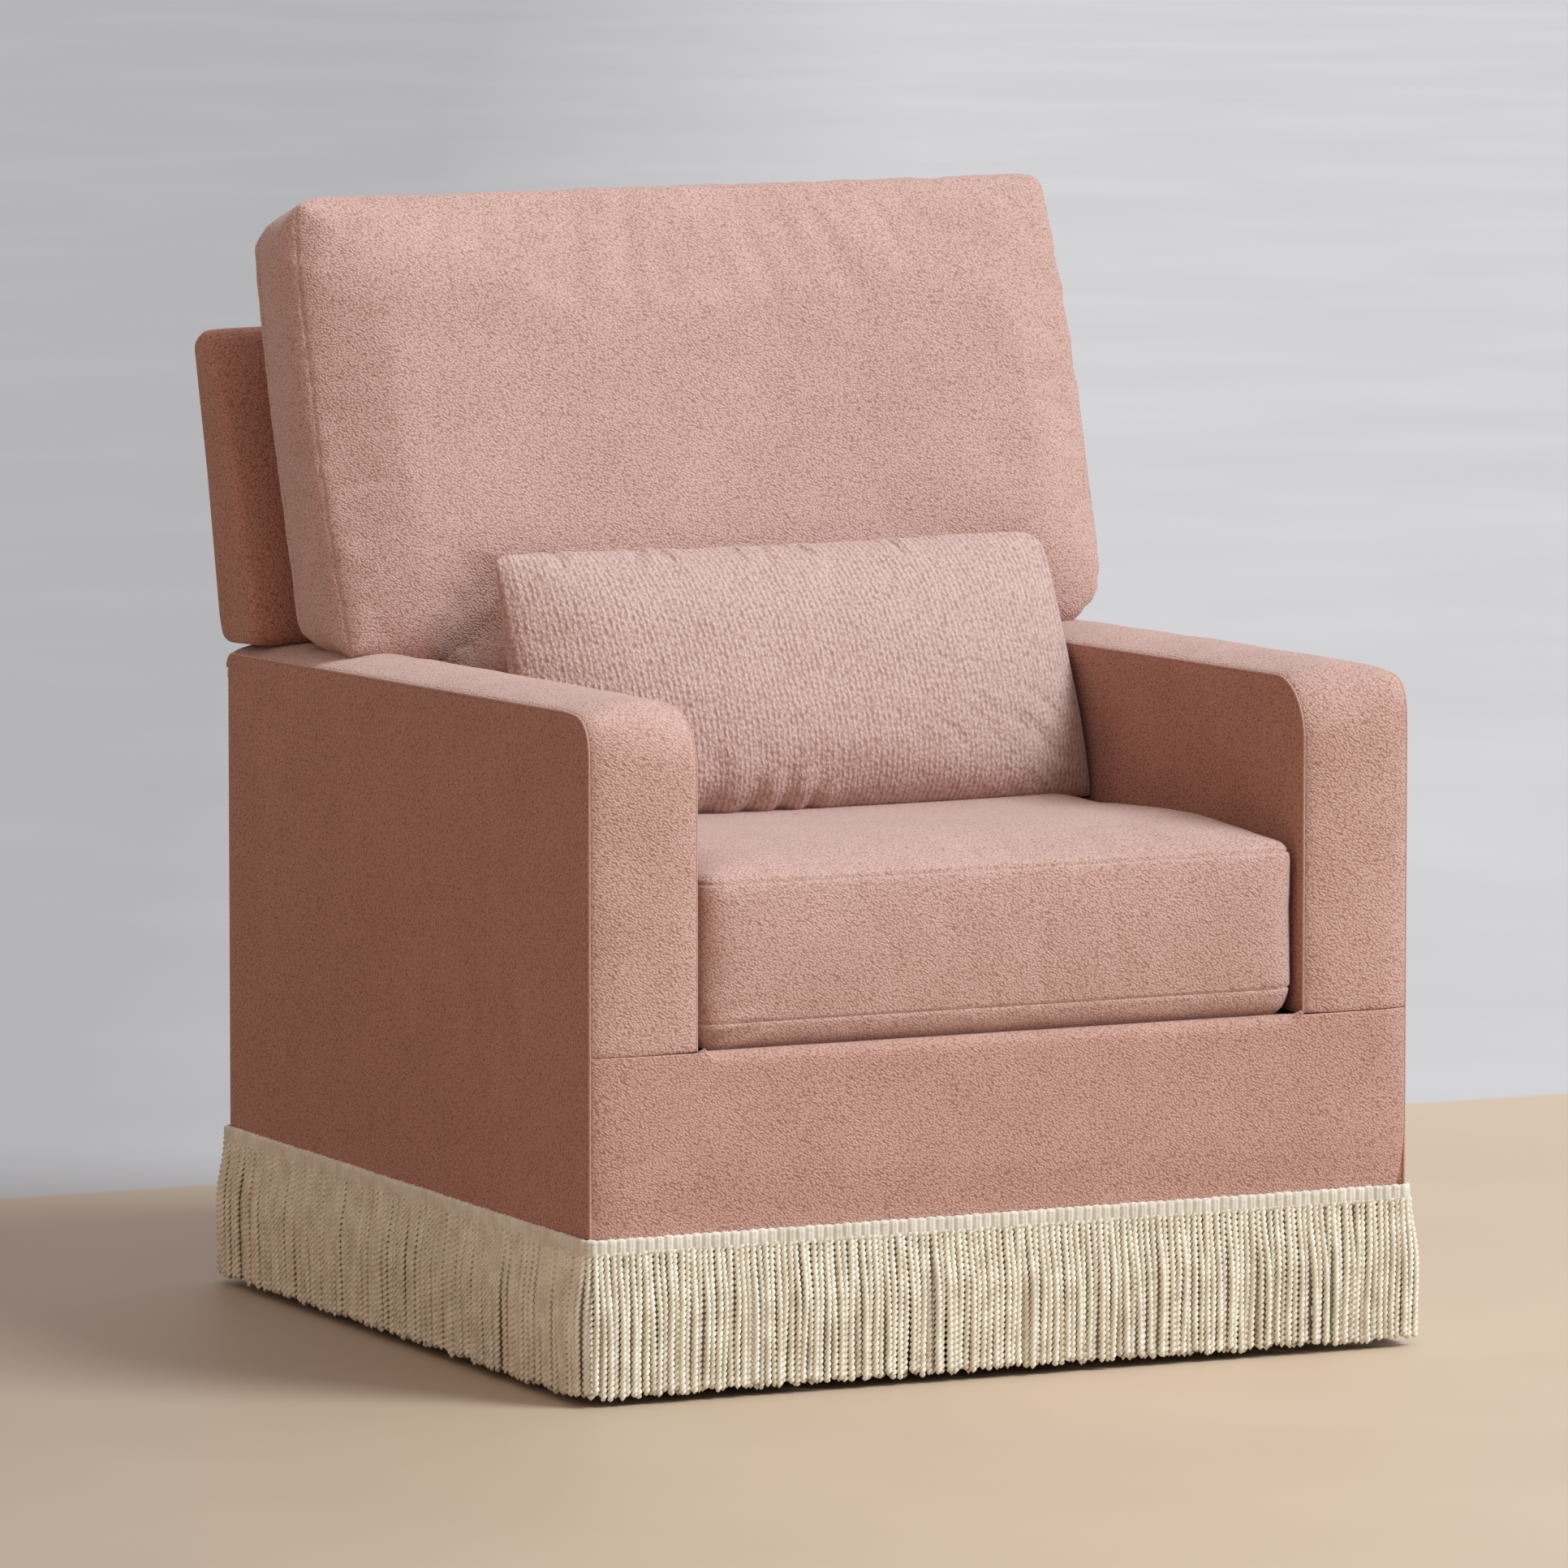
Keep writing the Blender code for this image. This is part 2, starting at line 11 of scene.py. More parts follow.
import bmesh
import bpy
import numpy as np
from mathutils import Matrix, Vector, noise


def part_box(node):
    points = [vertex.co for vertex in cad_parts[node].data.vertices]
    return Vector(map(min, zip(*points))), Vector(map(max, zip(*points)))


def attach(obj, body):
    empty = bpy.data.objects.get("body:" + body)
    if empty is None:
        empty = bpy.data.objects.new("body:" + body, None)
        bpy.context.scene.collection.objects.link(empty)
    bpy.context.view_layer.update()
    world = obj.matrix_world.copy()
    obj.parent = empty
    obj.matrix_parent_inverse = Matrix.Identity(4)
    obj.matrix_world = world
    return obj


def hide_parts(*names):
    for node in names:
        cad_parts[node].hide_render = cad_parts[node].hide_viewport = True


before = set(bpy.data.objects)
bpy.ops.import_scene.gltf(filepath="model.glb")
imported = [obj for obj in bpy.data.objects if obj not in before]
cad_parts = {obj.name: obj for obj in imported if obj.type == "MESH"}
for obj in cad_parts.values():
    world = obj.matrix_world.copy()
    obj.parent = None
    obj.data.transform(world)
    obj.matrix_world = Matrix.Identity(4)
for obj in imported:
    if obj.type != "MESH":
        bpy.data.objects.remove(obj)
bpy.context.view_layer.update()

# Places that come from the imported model.
body_low, front_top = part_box("front_panel")
HALF_WIDTH = front_top.x
FRONT = body_low.y
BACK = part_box("back_panel")[1].y
SKIRT = body_low.z
SEAT = front_top.z
ARM_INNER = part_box("arm_boxing_right")[0].x - 0.0025  # the covers stand this far into the seat
ARM_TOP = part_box("arm_boxing_right")[1].z
MIDDLE = (FRONT + BACK) / 2  # Y of the swivel axis

# Arms.
ARM_TOP_BACK = 0.583
ARM_CORNER = 0.055
CORNER_Y, CORNER_Z = FRONT + ARM_CORNER, ARM_TOP - ARM_CORNER  # centre of the arm's front corner
COVER_THICK, PANEL_THICK = 0.0125, 0.0115
SEAM_IN = 0.0026  # the sewn edge lies this far in from the arm's side
SEAM_DOWN = 0.0032  # and this far below the crown of the boxing
SEAM_BOW = 0.0085  # at the front corner the outer seam stands this far past the crown's arc
BOXING_FULL = 0.0045  # the crown of the boxing stands this far proud of the frame
BOXING_ROLL = 0.036  # the boxing falls to its seams over this width
PANEL_ROLL = 0.014
WELT = 0.0012

# Back rest, as a side outline of (y, z) from the swivel axis.
BACK_REST = [
    (0.3185, 0.5925), (0.3270, 0.6350), (0.3655, 0.7440), (0.4110, 0.8420), (0.4230, 0.8660),
    (0.4420, 0.8755), (0.4670, 0.8620), (0.4365, 0.7430), (0.4090, 0.6120), (0.3990, 0.5880),
]  # fmt: skip

# Loose cushions.
BACK_LEAN = radians(18.2)
LEAN_SIN, LEAN_COS = sin(BACK_LEAN), cos(BACK_LEAN)
BACK_SEAM = (0.172, 0.650)  # (y, z) of a point on the back pillow's front seam
PILLOW_SEAMS = (0.0145, 0.090)  # into the pillow, from the face of its form
PILLOW_HALF = 0.3840
PILLOW_SHIFT = 0.005  # to the right
PILLOW_TOP = 0.3780  # up the lean
PILLOW_THICK = 0.140
TONGUE_HALF = 0.272
TONGUE_LOW = -0.140
LUMBAR_HALF = (0.2745, 0.2810)  # at its top and bottom
LUMBAR_SHIFT = 0.013
EAR_REST_Z = 0.5905  # the ears of the back pillow lie on the arm tops

# Section of the lumbar pillow: height, middle y, and half depths in front and behind.
LUMBAR_SECTION = [
    (0.4545, 0.0190, 0.0320, 0.0380), (0.4620, 0.0222, 0.0520, 0.0450), (0.4830, 0.0300, 0.0705, 0.0520),
    (0.5050, 0.0380, 0.0810, 0.0550), (0.5280, 0.0462, 0.0870, 0.0560), (0.5530, 0.0555, 0.0840, 0.0550),
    (0.6000, 0.0733, 0.0745, 0.0520), (0.6400, 0.0885, 0.0600, 0.0440), (0.6700, 0.0998, 0.0400, 0.0300),
    (0.6850, 0.1055, 0.0220, 0.0160), (0.6910, 0.1078, 0.0030, 0.0030),
]  # fmt: skip

# Bullion fringe.
HEADER_Z = (0.130, 0.1445)
LOOP_PITCH = 0.0090
CORD_PITCH = 0.0058
CORD_TWIST = 0.0105  # length of one full turn of the two strands

# Distances of the closer stations beside a sewn edge.
EDGE_STEPS = (0, 0.0006, 0.0014, 0.0026, 0.0042, 0.0062, 0.0088, 0.012, 0.016, 0.021, 0.027)
SIDES = (("left", -1), ("right", 1))


# ---- mesh helpers


def spaced(low, high, step, fine_low=True, fine_high=True):
    """Stations from low to high, closer together beside a sewn edge."""
    start = [low + s for s in EDGE_STEPS] if fine_low else [low]
    end = [high - s for s in reversed(EDGE_STEPS)] if fine_high else [high]
    count = max(1, round((end[0] - start[-1]) / step))
    gap = (end[0] - start[-1]) / count
    return start + [start[-1] + gap * i for i in range(1, count)] + end


def smooth(low, high, value):
    share = min(1.0, max(0.0, (value - low) / (high - low)))
    return share * share * (3 - 2 * share)


def roll(distance, width, drop):
    """How far a padded surface lies below its crown, this far from a sewn edge."""
    share = 1 - min(1.0, max(0.0, distance) / width)
    return drop * (1 - sqrt(1 - share * share))


def uneven(x, y, z, size, height):
    """The smooth unevenness of padding."""
    return height * noise.noise(Vector((x, y, z)) / size)


def placed(name, data):
    made = bpy.data.objects.new(name, data)
    bpy.context.scene.collection.objects.link(made)
    return made


@contextlib.contextmanager
def edited(mesh):
    """The mesh as an editable shape, which is written back at the end."""
    shape = bmesh.new()
    shape.from_mesh(mesh)
    yield shape
    shape.to_mesh(mesh)
    shape.free()


def new_mesh(name, points, faces):
    mesh = bpy.data.meshes.new(name)
    mesh.from_pydata([tuple(p) for p in points], [], faces)
    with edited(mesh) as shape:
        bmesh.ops.recalc_face_normals(shape, faces=shape.faces)
    mesh.shade_smooth()
    return mesh


def add_piece(name, mesh, look, replaces=(), fill=None, body="seat"):
    piece = placed(name, mesh)
    mesh.materials.clear()
    mesh.materials.append(look)
    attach(piece, body)
    if replaces:
        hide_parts(*replaces)
    return piece


def add_cover(name, front, back, look, stands_for, fill=0.9):
    """A padded cover between two grids of points."""
    add_piece(name, slab(name, front, back), look, [stands_for], fill)


def slab(name, front, back):
    """A closed body between two grids of points with the same rows and columns."""
    rows, cols = len(front), len(front[0])
    points = [p for row in front for p in row] + [p for row in back for p in row]
    other = rows * cols
    faces = []
    for r in range(rows - 1):
        for c in range(cols - 1):
            a = r * cols + c
            faces.append((a, a + 1, a + cols + 1, a + cols))
            faces.append((other + a, other + a + cols, other + a + cols + 1, other + a + 1))
    edge = list(range(cols))
    edge += [r * cols + cols - 1 for r in range(1, rows)]
    edge += [(rows - 1) * cols + c for c in range(cols - 2, -1, -1)]
    edge += [r * cols for r in range(rows - 2, 0, -1)]
    for i, a in enumerate(edge):
        b = edge[(i + 1) % len(edge)]
        faces.append((a, b, other + b, other + a))
    return new_mesh(name, points, faces)


def two_grids(rows, cols, pair):
    """Two grids of points, from the near and far points that pair gives for a row and a column."""
    made = [[pair(row, col) for col in cols] for row in rows]
    return [[near for near, _ in line] for line in made], [[far for _, far in line] for line in made]


def ring_faces(rings, sides, base=0):
    """The faces between rings of points, with closed ends."""
    faces = []
    for r in range(rings - 1):
        for k in range(sides):
            a = base + r * sides + k
            b = base + r * sides + (k + 1) % sides
            faces.append((a, b, b + sides, a + sides))
    faces.append(tuple(base + k for k in range(sides)))
    faces.append(tuple(base + (rings - 1) * sides + k for k in range(sides)))
    return faces


def tubes(name, paths, radius, sides=8):
    points, faces = [], []
    for path in paths:
        faces += ring_faces(len(path), sides, len(points))
        for i, place in enumerate(path):
            ahead = path[min(i + 1, len(path) - 1)] - path[max(i - 1, 0)]
            along = ahead.normalized()
            across = along.cross(Vector((1, 0, 0)))
            if across.length < 0.2:
                across = along.cross(Vector((0, 0, 1)))
            across.normalize()
            up = along.cross(across)
            for k in range(sides):
                turn = 2 * pi * k / sides
                points.append(place + (across * cos(turn) + up * sin(turn)) * radius)
    return new_mesh(name, points, faces)


def corner_curve(start, corner, finish, steps):
    """Points of a smooth turn from start to finish, drawn towards a corner."""
    shares = [k / steps for k in range(steps + 1)]
    return [start * (1 - t) ** 2 + corner * 2 * t * (1 - t) + finish * t * t for t in shares]


# ---- materials


def set_sockets(tree, made, values):
    """Sets sockets by name, each to a value or to the output of another node."""
    for name, value in dict(values).items():
        if isinstance(value, bpy.types.NodeSocket):
            tree.links.new(value, made.inputs[name])
        else:
            made.inputs[name].default_value = value


def node(tree, kind, inputs=(), **settings):
    made = tree.nodes.new(kind)
    for name, value in settings.items():
        setattr(made, name, value)
    set_sockets(tree, made, inputs)
    return made


def new_material(name):
    """A material, its node tree and shader, and the place on the object."""
    made = bpy.data.materials.new(name)
    made.use_nodes = True
    tree = made.node_tree
    place = node(tree, "ShaderNodeTexCoord").outputs["Object"]
    return made, tree, tree.nodes["Principled BSDF"], place


def ramp(tree, factor, *stops):
    made = node(tree, "ShaderNodeValToRGB", {"Fac": factor})
    stop = made.color_ramp.elements
    while len(stop) < len(stops):
        stop.new(0.5)
    for element, (place, colour) in zip(stop, stops):
        element.position = place
        element.color = (*colour, 1)
    return made.outputs["Color"]


def maths(tree, operation, first, second):
    return node(tree, "ShaderNodeMath", {0: first, 1: second}, operation=operation).outputs[0]


def vectors(tree, operation, first, second):
    made = node(tree, "ShaderNodeVectorMath", {0: first, 1: second}, operation=operation)
    return made.outputs["Value" if operation == "DOT_PRODUCT" else "Vector"]


def remap(tree, value, low, high, to_low=0.0, to_high=1.0):
    ends = {"From Min": low, "From Max": high, "To Min": to_low, "To Max": to_high}
    return node(tree, "ShaderNodeMapRange", {"Value": value, **ends}).outputs[0]


def cloudy(tree, place, scale, detail, output="Fac", **more):
    """A noise texture's factor or colour."""
    inputs = {"Vector": place, "Scale": scale, "Detail": detail, **more}
    return node(tree, "ShaderNodeTexNoise", inputs).outputs[output]


def bumped(tree, height, strength, distance):
    inputs = {"Height": height, "Strength": strength, "Distance": distance}
    return node(tree, "ShaderNodeBump", inputs).outputs["Normal"]


def total(tree, *terms):
    """The sum of (value, weight) terms."""
    made = None
    for value, weight in terms:
        part = value if weight == 1 else maths(tree, "MULTIPLY", value, weight)
        made = part if made is None else maths(tree, "ADD", made, part)
    return made


TWILL = radians(32)  # the slope of the rows of nubs


def boucle(name, dark, light, nub, lift, sheen=0.3, rib=None):
    """Looped yarn: small rounded nubs of the given size in x, y and z, in columns where there is a rib."""
    made, tree, shader, place = new_material(name)
    wander = cloudy(tree, place, 60.0, 2.0, "Color")
    drift = vectors(tree, "MULTIPLY", wander, (0.0016, 0.0016, 0.0016))
    moved = vectors(tree, "ADD", place, drift)
    turned = {"Vector": moved, "Rotation": (0, 0 if rib else TWILL, 0), "Scale": nub}
    scaled = node(tree, "ShaderNodeMapping", turned, vector_type="TEXTURE").outputs[0]
    cells = {"Vector": scaled, "Scale": 1.0, "Smoothness": 0.25}
    nubs = node(tree, "ShaderNodeTexVoronoi", cells, feature="SMOOTH_F1")
    loops = maths(tree, "SUBTRACT", 1.0, nubs.outputs["Distance"])
    crimp = cloudy(tree, scaled, 2.6, 1.0, Roughness=0.5)
    patches = cloudy(tree, place, 16.0, 3.0)
    parts = [(loops, 1.0), (crimp, 0.35)]
    if rib:
        across = node(tree, "ShaderNodeSeparateXYZ", {"Vector": moved}).outputs["X"]
        wave = maths(tree, "SINE", maths(tree, "MULTIPLY", across, 2 * pi / rib), 0.0)
        parts.append((wave, 0.17))
    height = total(tree, *parts)
    # Painted shade and highlight: the colour follows the nub height, darker in the hollows between loops
    # and lighter on their crests, with random patches on top.
    relief_shade_tone = total(tree, (height, 1.0), (patches, 0.25))
    sockets = {
        "Base Color": ramp(tree, remap(tree, relief_shade_tone, 0.36, 1.30), (0.0, dark), (1.0, light)),
        "Normal": bumped(tree, height, 1.0, lift),
        "Roughness": 0.92,
        "Sheen Weight": sheen,
        "Sheen Roughness": 0.45,
        "Sheen Tint": (1.0, 0.93, 0.90, 1),
        "Specular IOR Level": 0.25,
    }
    set_sockets(tree, shader, sockets)
    return made


def yarn(name, dark, light):
    """Smooth spun cotton with fine fibres."""
    made, tree, shader, place = new_material(name)
    fibres = cloudy(tree, place, 900.0, 4.0, Roughness=0.65)
    locks = cloudy(tree, place, 60.0, 2.0)
    mixed = total(tree, (locks, 0.8), (fibres, 0.5))
    sockets = {
        "Base Color": ramp(tree, mixed, (0.42, dark), (0.85, light)),
        "Normal": bumped(tree, fibres, 0.8, 0.0007),
        "Roughness": 0.85,
        "Sheen Weight": 0.2,
        "Specular IOR Level": 0.3,
    }
    set_sockets(tree, shader, sockets)
    return made


def metal(name, dark, light, metallic, rough, grain, lift):
    """Coated or plated steel, or moulded plastic where metallic is 0."""
    made, tree, shader, place = new_material(name)
    skin = cloudy(tree, place, grain, 3.0)
    cloud = cloudy(tree, place, 24.0, 4.0)
    sockets = {
        "Base Color": ramp(tree, cloud, (0.3, dark), (0.7, light)),
        "Normal": bumped(tree, skin, 0.5, lift),
        "Roughness": remap(tree, cloud, 0.0, 1.0, rough - 0.08, rough + 0.1),
        "Metallic": metallic,
    }
    set_sockets(tree, shader, sockets)
    return made


def wood(name):
    """Planed poplar, with its grain along x."""
    made, tree, shader, place = new_material(name)
    stretched = node(tree, "ShaderNodeMapping", {"Vector": place, "Scale": (6.0, 60.0, 60.0)}).outputs[0]
    grain = cloudy(tree, stretched, 1.0, 5.0, Distortion=0.6)
    sockets = {
        "Base Color": ramp(tree, grain, (0.3, (0.50, 0.34, 0.19)), (0.7, (0.70, 0.54, 0.36))),
        "Normal": bumped(tree, grain, 0.4, 0.0006),
        "Roughness": 0.62,
    }
    set_sockets(tree, shader, sockets)
    return made


SHELL_BLUSH = (0.33, 0.150, 0.105), (0.70, 0.430, 0.360)
# Painted light: a lighter, whiter copy of the blush bouclé for the seat cushion and back pillow, which
# catch the most light.
PILLOW_BLUSH_PAINTED_LIGHT = (0.36, 0.185, 0.140), (0.73, 0.480, 0.420)
RIB_BLUSH = (0.38, 0.215, 0.172), (0.66, 0.462, 0.412)
WELT_BLUSH = (0.42, 0.215, 0.160), (0.64, 0.400, 0.330)
# Painted shade: a darker, redder copy of the blush bouclé for the arm side panels and the back rest, which
# face away from the key light.
SIDE_BLUSH_PAINTED_SHADE = (0.27, 0.098, 0.064), (0.56, 0.290, 0.215)
# Painted light: a lighter copy of the blush bouclé for the arm boxings, lightened to match how brightly
# their fronts and tops are lit.
BOXING_BLUSH_PAINTED_LIGHT = (0.36, 0.178, 0.130), (0.73, 0.475, 0.410)
shell_cloth = boucle("blush_boucle_shell", *SHELL_BLUSH, (0.0027, 0.0021, 0.0016), 0.0011)
side_cloth_painted_shade = boucle("blush_boucle_side", *SIDE_BLUSH_PAINTED_SHADE, (0.0024, 0.0024, 0.0018), 0.0010, 0.15)
boxing_cloth_painted_light = boucle("blush_boucle_boxing", *BOXING_BLUSH_PAINTED_LIGHT, (0.0028, 0.0021, 0.0017), 0.0011)
pillow_cloth_painted_light = boucle("blush_boucle_pillow", *PILLOW_BLUSH_PAINTED_LIGHT, (0.0026, 0.0020, 0.0016), 0.0010)
rib_cloth = boucle("blush_boucle_ribbed", *RIB_BLUSH, (0.0027, 0.0036, 0.0040), 0.0011, rib=0.0054)
welt_cloth = boucle("blush_welt", *WELT_BLUSH, (0.0014, 0.0014, 0.0014), 0.0004)
deck_weave = boucle("deck_woven", (0.36, 0.17, 0.12), (0.58, 0.36, 0.29), (0.002, 0.002, 0.002), 0.0005)
cord_cotton = yarn("cream_cord", (0.66, 0.57, 0.43), (0.91, 0.83, 0.69))
tape_cotton = yarn("cream_tape", (0.62, 0.54, 0.44), (0.80, 0.73, 0.62))


def finish_cad_nodes():
    """Better materials on the CAD nodes that stay: the frame, the springs and the swivel glider."""
    black = (0.035, 0.035, 0.038), (0.055, 0.055, 0.06)
    zinc = (0.52, 0.52, 0.50), (0.68, 0.67, 0.62)
    bare = (0.22, 0.22, 0.23), (0.36, 0.36, 0.37)
    grey = (0.26, 0.26, 0.26), (0.33, 0.33, 0.33)
    looks = {
        "black_steel": metal("black_steel_coat", *black, 0.1, 0.48, 1800.0, 0.0004),
        "zinc_steel": metal("zinc_steel_plate", *zinc, 0.95, 0.34, 900.0, 0.0001),
        "spring_steel": metal("spring_steel_wire", *bare, 0.95, 0.40, 900.0, 0.0001),
        "grey_nylon": metal("grey_nylon_moulded", *grey, 0.0, 0.55, 1400.0, 0.0002),
        "poplar": wood("poplar_planed"),
    }
    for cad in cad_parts.values():
        for held in cad.material_slots:
            name = held.material.name.split(".")[0] if held.material else ""
            for key, look in looks.items():
                if key in name:
                    held.material = look


# ---- arms


def arm_top(y):
    """Height of the arm's crown behind its front corner."""
    level = ARM_TOP + (ARM_TOP_BACK - ARM_TOP) * (y - CORNER_Y) / (BACK - CORNER_Y)
    return level - roll(BACK - y, 0.015, 0.013)


def corner_turns(count):
    """Directions (y, z) round the arm's front corner, from forward towards up."""
    for i in range(count):
        turn = pi - pi / 2 * i / count
        yield cos(turn), sin(turn)


def arm_path(bottom, inset=0.0):
    """The arm's side outline from the front, up and over to the back: (y, z, normal y, normal z)."""
    path = [(FRONT + inset, z, -1.0, 0.0) for z in spaced(bottom, CORNER_Z, 0.006, True, False)]
    reach = ARM_CORNER - inset
    path += [(CORNER_Y + reach * ny, CORNER_Z + reach * nz, ny, nz) for ny, nz in corner_turns(18)][1:]
    path += [(y, arm_top(y) - inset, 0.0, 1.0) for y in spaced(CORNER_Y, BACK, 0.006, False, True)]
    return path


def arm_bow(ny, nz):
    """How far the outer seam stands out past the crown's arc, where it turns the corner more tightly."""
    return SEAM_BOW * max(0.0, -2 * ny * nz) ** 2.6


def arm_edge(y, z, outer):
    """Distance from a point of an arm's side to its sewn edge."""
    if y < CORNER_Y and z > CORNER_Z:
        away = hypot(y - CORNER_Y, z - CORNER_Z)
        bow = arm_bow((y - CORNER_Y) / away, (z - CORNER_Z) / away) if outer else 0
        return ARM_CORNER - SEAM_DOWN + bow - away
    return min(y - FRONT - SEAM_DOWN, arm_top(y) - SEAM_DOWN - z)


def build_arm_boxing(name, side):
    """The strip that runs up the front of the arm and back over its top."""
    bottom = SEAT + 0.0039
    across = spaced(ARM_INNER + SEAM_IN, HALF_WIDTH - SEAM_IN, 0.007)
    path = arm_path(bottom)
    front, back = [], []
    run = 0.0
    for i, (y, z, ny, nz) in enumerate(path):
        if i:
            run += hypot(y - path[i - 1][0], z - path[i - 1][1])
        top, under = [], []
        full = 0.0010 + max(0, nz) * (0.0022 + 0.0022 * sin(pi * (y - FRONT) / (BACK - FRONT)))
        for x in across:
            edge = min(x - across[0], across[-1] - x)
            height = full * smooth(0, 0.05, edge) + BOXING_FULL
            height -= roll(edge, BOXING_ROLL, SEAM_DOWN + BOXING_FULL)
            height -= roll(run, 0.009, 0.0018) if nz == 0 else 0
            height -= roll(BACK - y, 0.012, 0.005) if nz == 1 else 0
            height += uneven(side * x, y, z, 0.045, 0.0011) * smooth(0, 0.02, edge)
            height += arm_bow(ny, nz) * (1 - smooth(0, 0.060, across[-1] - x))
            top.append((side * x, y + ny * height, z + nz * height))
            under.append((side * x, y - ny * COVER_THICK, z - nz * COVER_THICK))
        front.append(top)
        back.append(under)
    # Painted light: the boxing takes the lighter copy of the bouclé.
    add_cover(f"arm_boxing_cover_{name}", front, back, boxing_cloth_painted_light, f"arm_boxing_{name}")


def build_arm_panel(name, side, outer):
    """The flat cover on one side of an arm, sewn to the boxing along its edge."""
    face = HALF_WIDTH if outer else ARM_INNER
    out = 1 if outer else -1
    low = SKIRT if outer else SEAT + 0.0035
    end = BACK - 0.004
    columns = []
    for ny, nz in corner_turns(20):
        reach = ARM_CORNER - SEAM_DOWN + (arm_bow(ny, nz) if outer else 0)
        columns.append((CORNER_Y + reach * ny, CORNER_Z + reach * nz))
    columns += [(y, arm_top(y) - SEAM_DOWN) for y in spaced(CORNER_Y, end, 0.012, False, outer)]
    nominal = spaced(low, ARM_TOP, 0.012, False, True)
    shares = [(z - low) / (ARM_TOP - low) for z in nominal]

    def pair(column, share):
        y, top = column
        z = low + (top - low) * share
        edge = arm_edge(y, z, outer)
        if outer:
            edge = min(edge, end - y)
        fall = roll(edge, PANEL_ROLL, SEAM_IN)
        puff = 0.0016 * smooth(0, 0.10, edge) + uneven(face, y, z, 0.16, 0.0012) if outer else 0
        rise = max(-SEAM_IN, puff * smooth(0, 0.03, edge) - fall)
        return (side * (face + out * rise), y, z), (side * (face - out * PANEL_THICK), y, z)

    kind = "outer" if outer else "inner"
    grids = two_grids(columns, shares, pair)
    # Painted shade: the arm's side panels take the darker side copy of the bouclé.
    add_cover(f"arm_{kind}_cover_{name}", *grids, side_cloth_painted_shade, f"arm_{kind}_panel_{name}")


def build_arm_welts(name, side):
    """The narrow corded seams along both edges of the boxing, and down the back corner."""
    out = HALF_WIDTH - SEAM_IN + 0.0002
    inn = ARM_INNER + SEAM_IN - 0.0002
    depth = SEAM_DOWN - 0.0004
    outer = []
    for y, z, ny, nz in arm_path(SKIRT + 0.002, depth):
        bow = arm_bow(ny, nz)
        outer.append(Vector((side * out, y + ny * bow, z + nz * bow)))
    inner = [Vector((side * inn, y, z)) for y, z, _, _ in arm_path(SEAT + 0.004, depth)]
    inner = [p for p in inner if p.y < BACK - 0.02]
    corner = [
        Vector((side * (HALF_WIDTH - 0.003), BACK - 0.0032, z))
        for z in spaced(SKIRT + 0.002, ARM_TOP_BACK - 0.006, 0.02, False, False)
    ]
    mesh = tubes(f"arm_welts_{name}", [outer, inner, corner], WELT)
    add_piece(mesh.name, mesh, welt_cloth)


# ---- front, back and deck


def build_front_cover():
    """The front rail's cover: rolled to the welts at its ends and over the top in the cushion well."""
    across = spaced(-HALF_WIDTH + SEAM_IN, HALF_WIDTH - SEAM_IN, 0.008)
    across += [s * (ARM_INNER + d) for s in (-1, 1) for d in (-0.012, -0.008, -0.004, -0.001, 0.002, 0.005)]
    across.sort()
    heights = [i / 24 for i in range(25)]
    turns = [radians(a) for a in (15, 30, 45, 60, 75, 90)]
    fillet = 0.009  # where the cover rises into the cushion well
    well_radius, arm_radius = 0.0120, 0.0016  # of the top edge, in the well and under the arms
    front, back = [], []
    for x in across:
        on_arm = smooth(ARM_INNER - 0.014, ARM_INNER + 0.001, abs(x))
        inside = max(0.0, ARM_INNER - 0.001 - abs(x))
        rise = fillet - sqrt(fillet**2 - max(0.0, fillet - inside) ** 2)
        top = SEAT + 0.0036 + (min(rise, 0.0050) if inside > 0 else 0)
        radius = well_radius + (arm_radius - well_radius) * on_arm
        edge = HALF_WIDTH - SEAM_IN - abs(x)
        column, inner = [], []
        for share in heights:
            z = SKIRT + (top - radius - SKIRT) * share
            puff = 0.0012 * smooth(0, 0.05, edge)
            puff += uneven(x, FRONT, z, 0.07, 0.0012) * smooth(0, 0.02, edge)
            puff += BOXING_FULL * smooth(SKIRT + 0.012, SKIRT + 0.07, z)
            column.append((x, FRONT + roll(edge, BOXING_ROLL, SEAM_DOWN + BOXING_FULL) - puff, z))
            inner.append((x, FRONT + COVER_THICK, z))
        base_y, base_z = column[-1][1], column[-1][2]
        for turn in turns:
            column.append((x, base_y + radius * (1 - cos(turn)), base_z + radius * sin(turn)))
            inner.append((x, max(FRONT + COVER_THICK, column[-1][1] + 0.001), base_z - 0.002))
        front.append(column)
        back.append(inner)
    add_cover("front_rail_cover", front, back, shell_cloth, "front_panel")


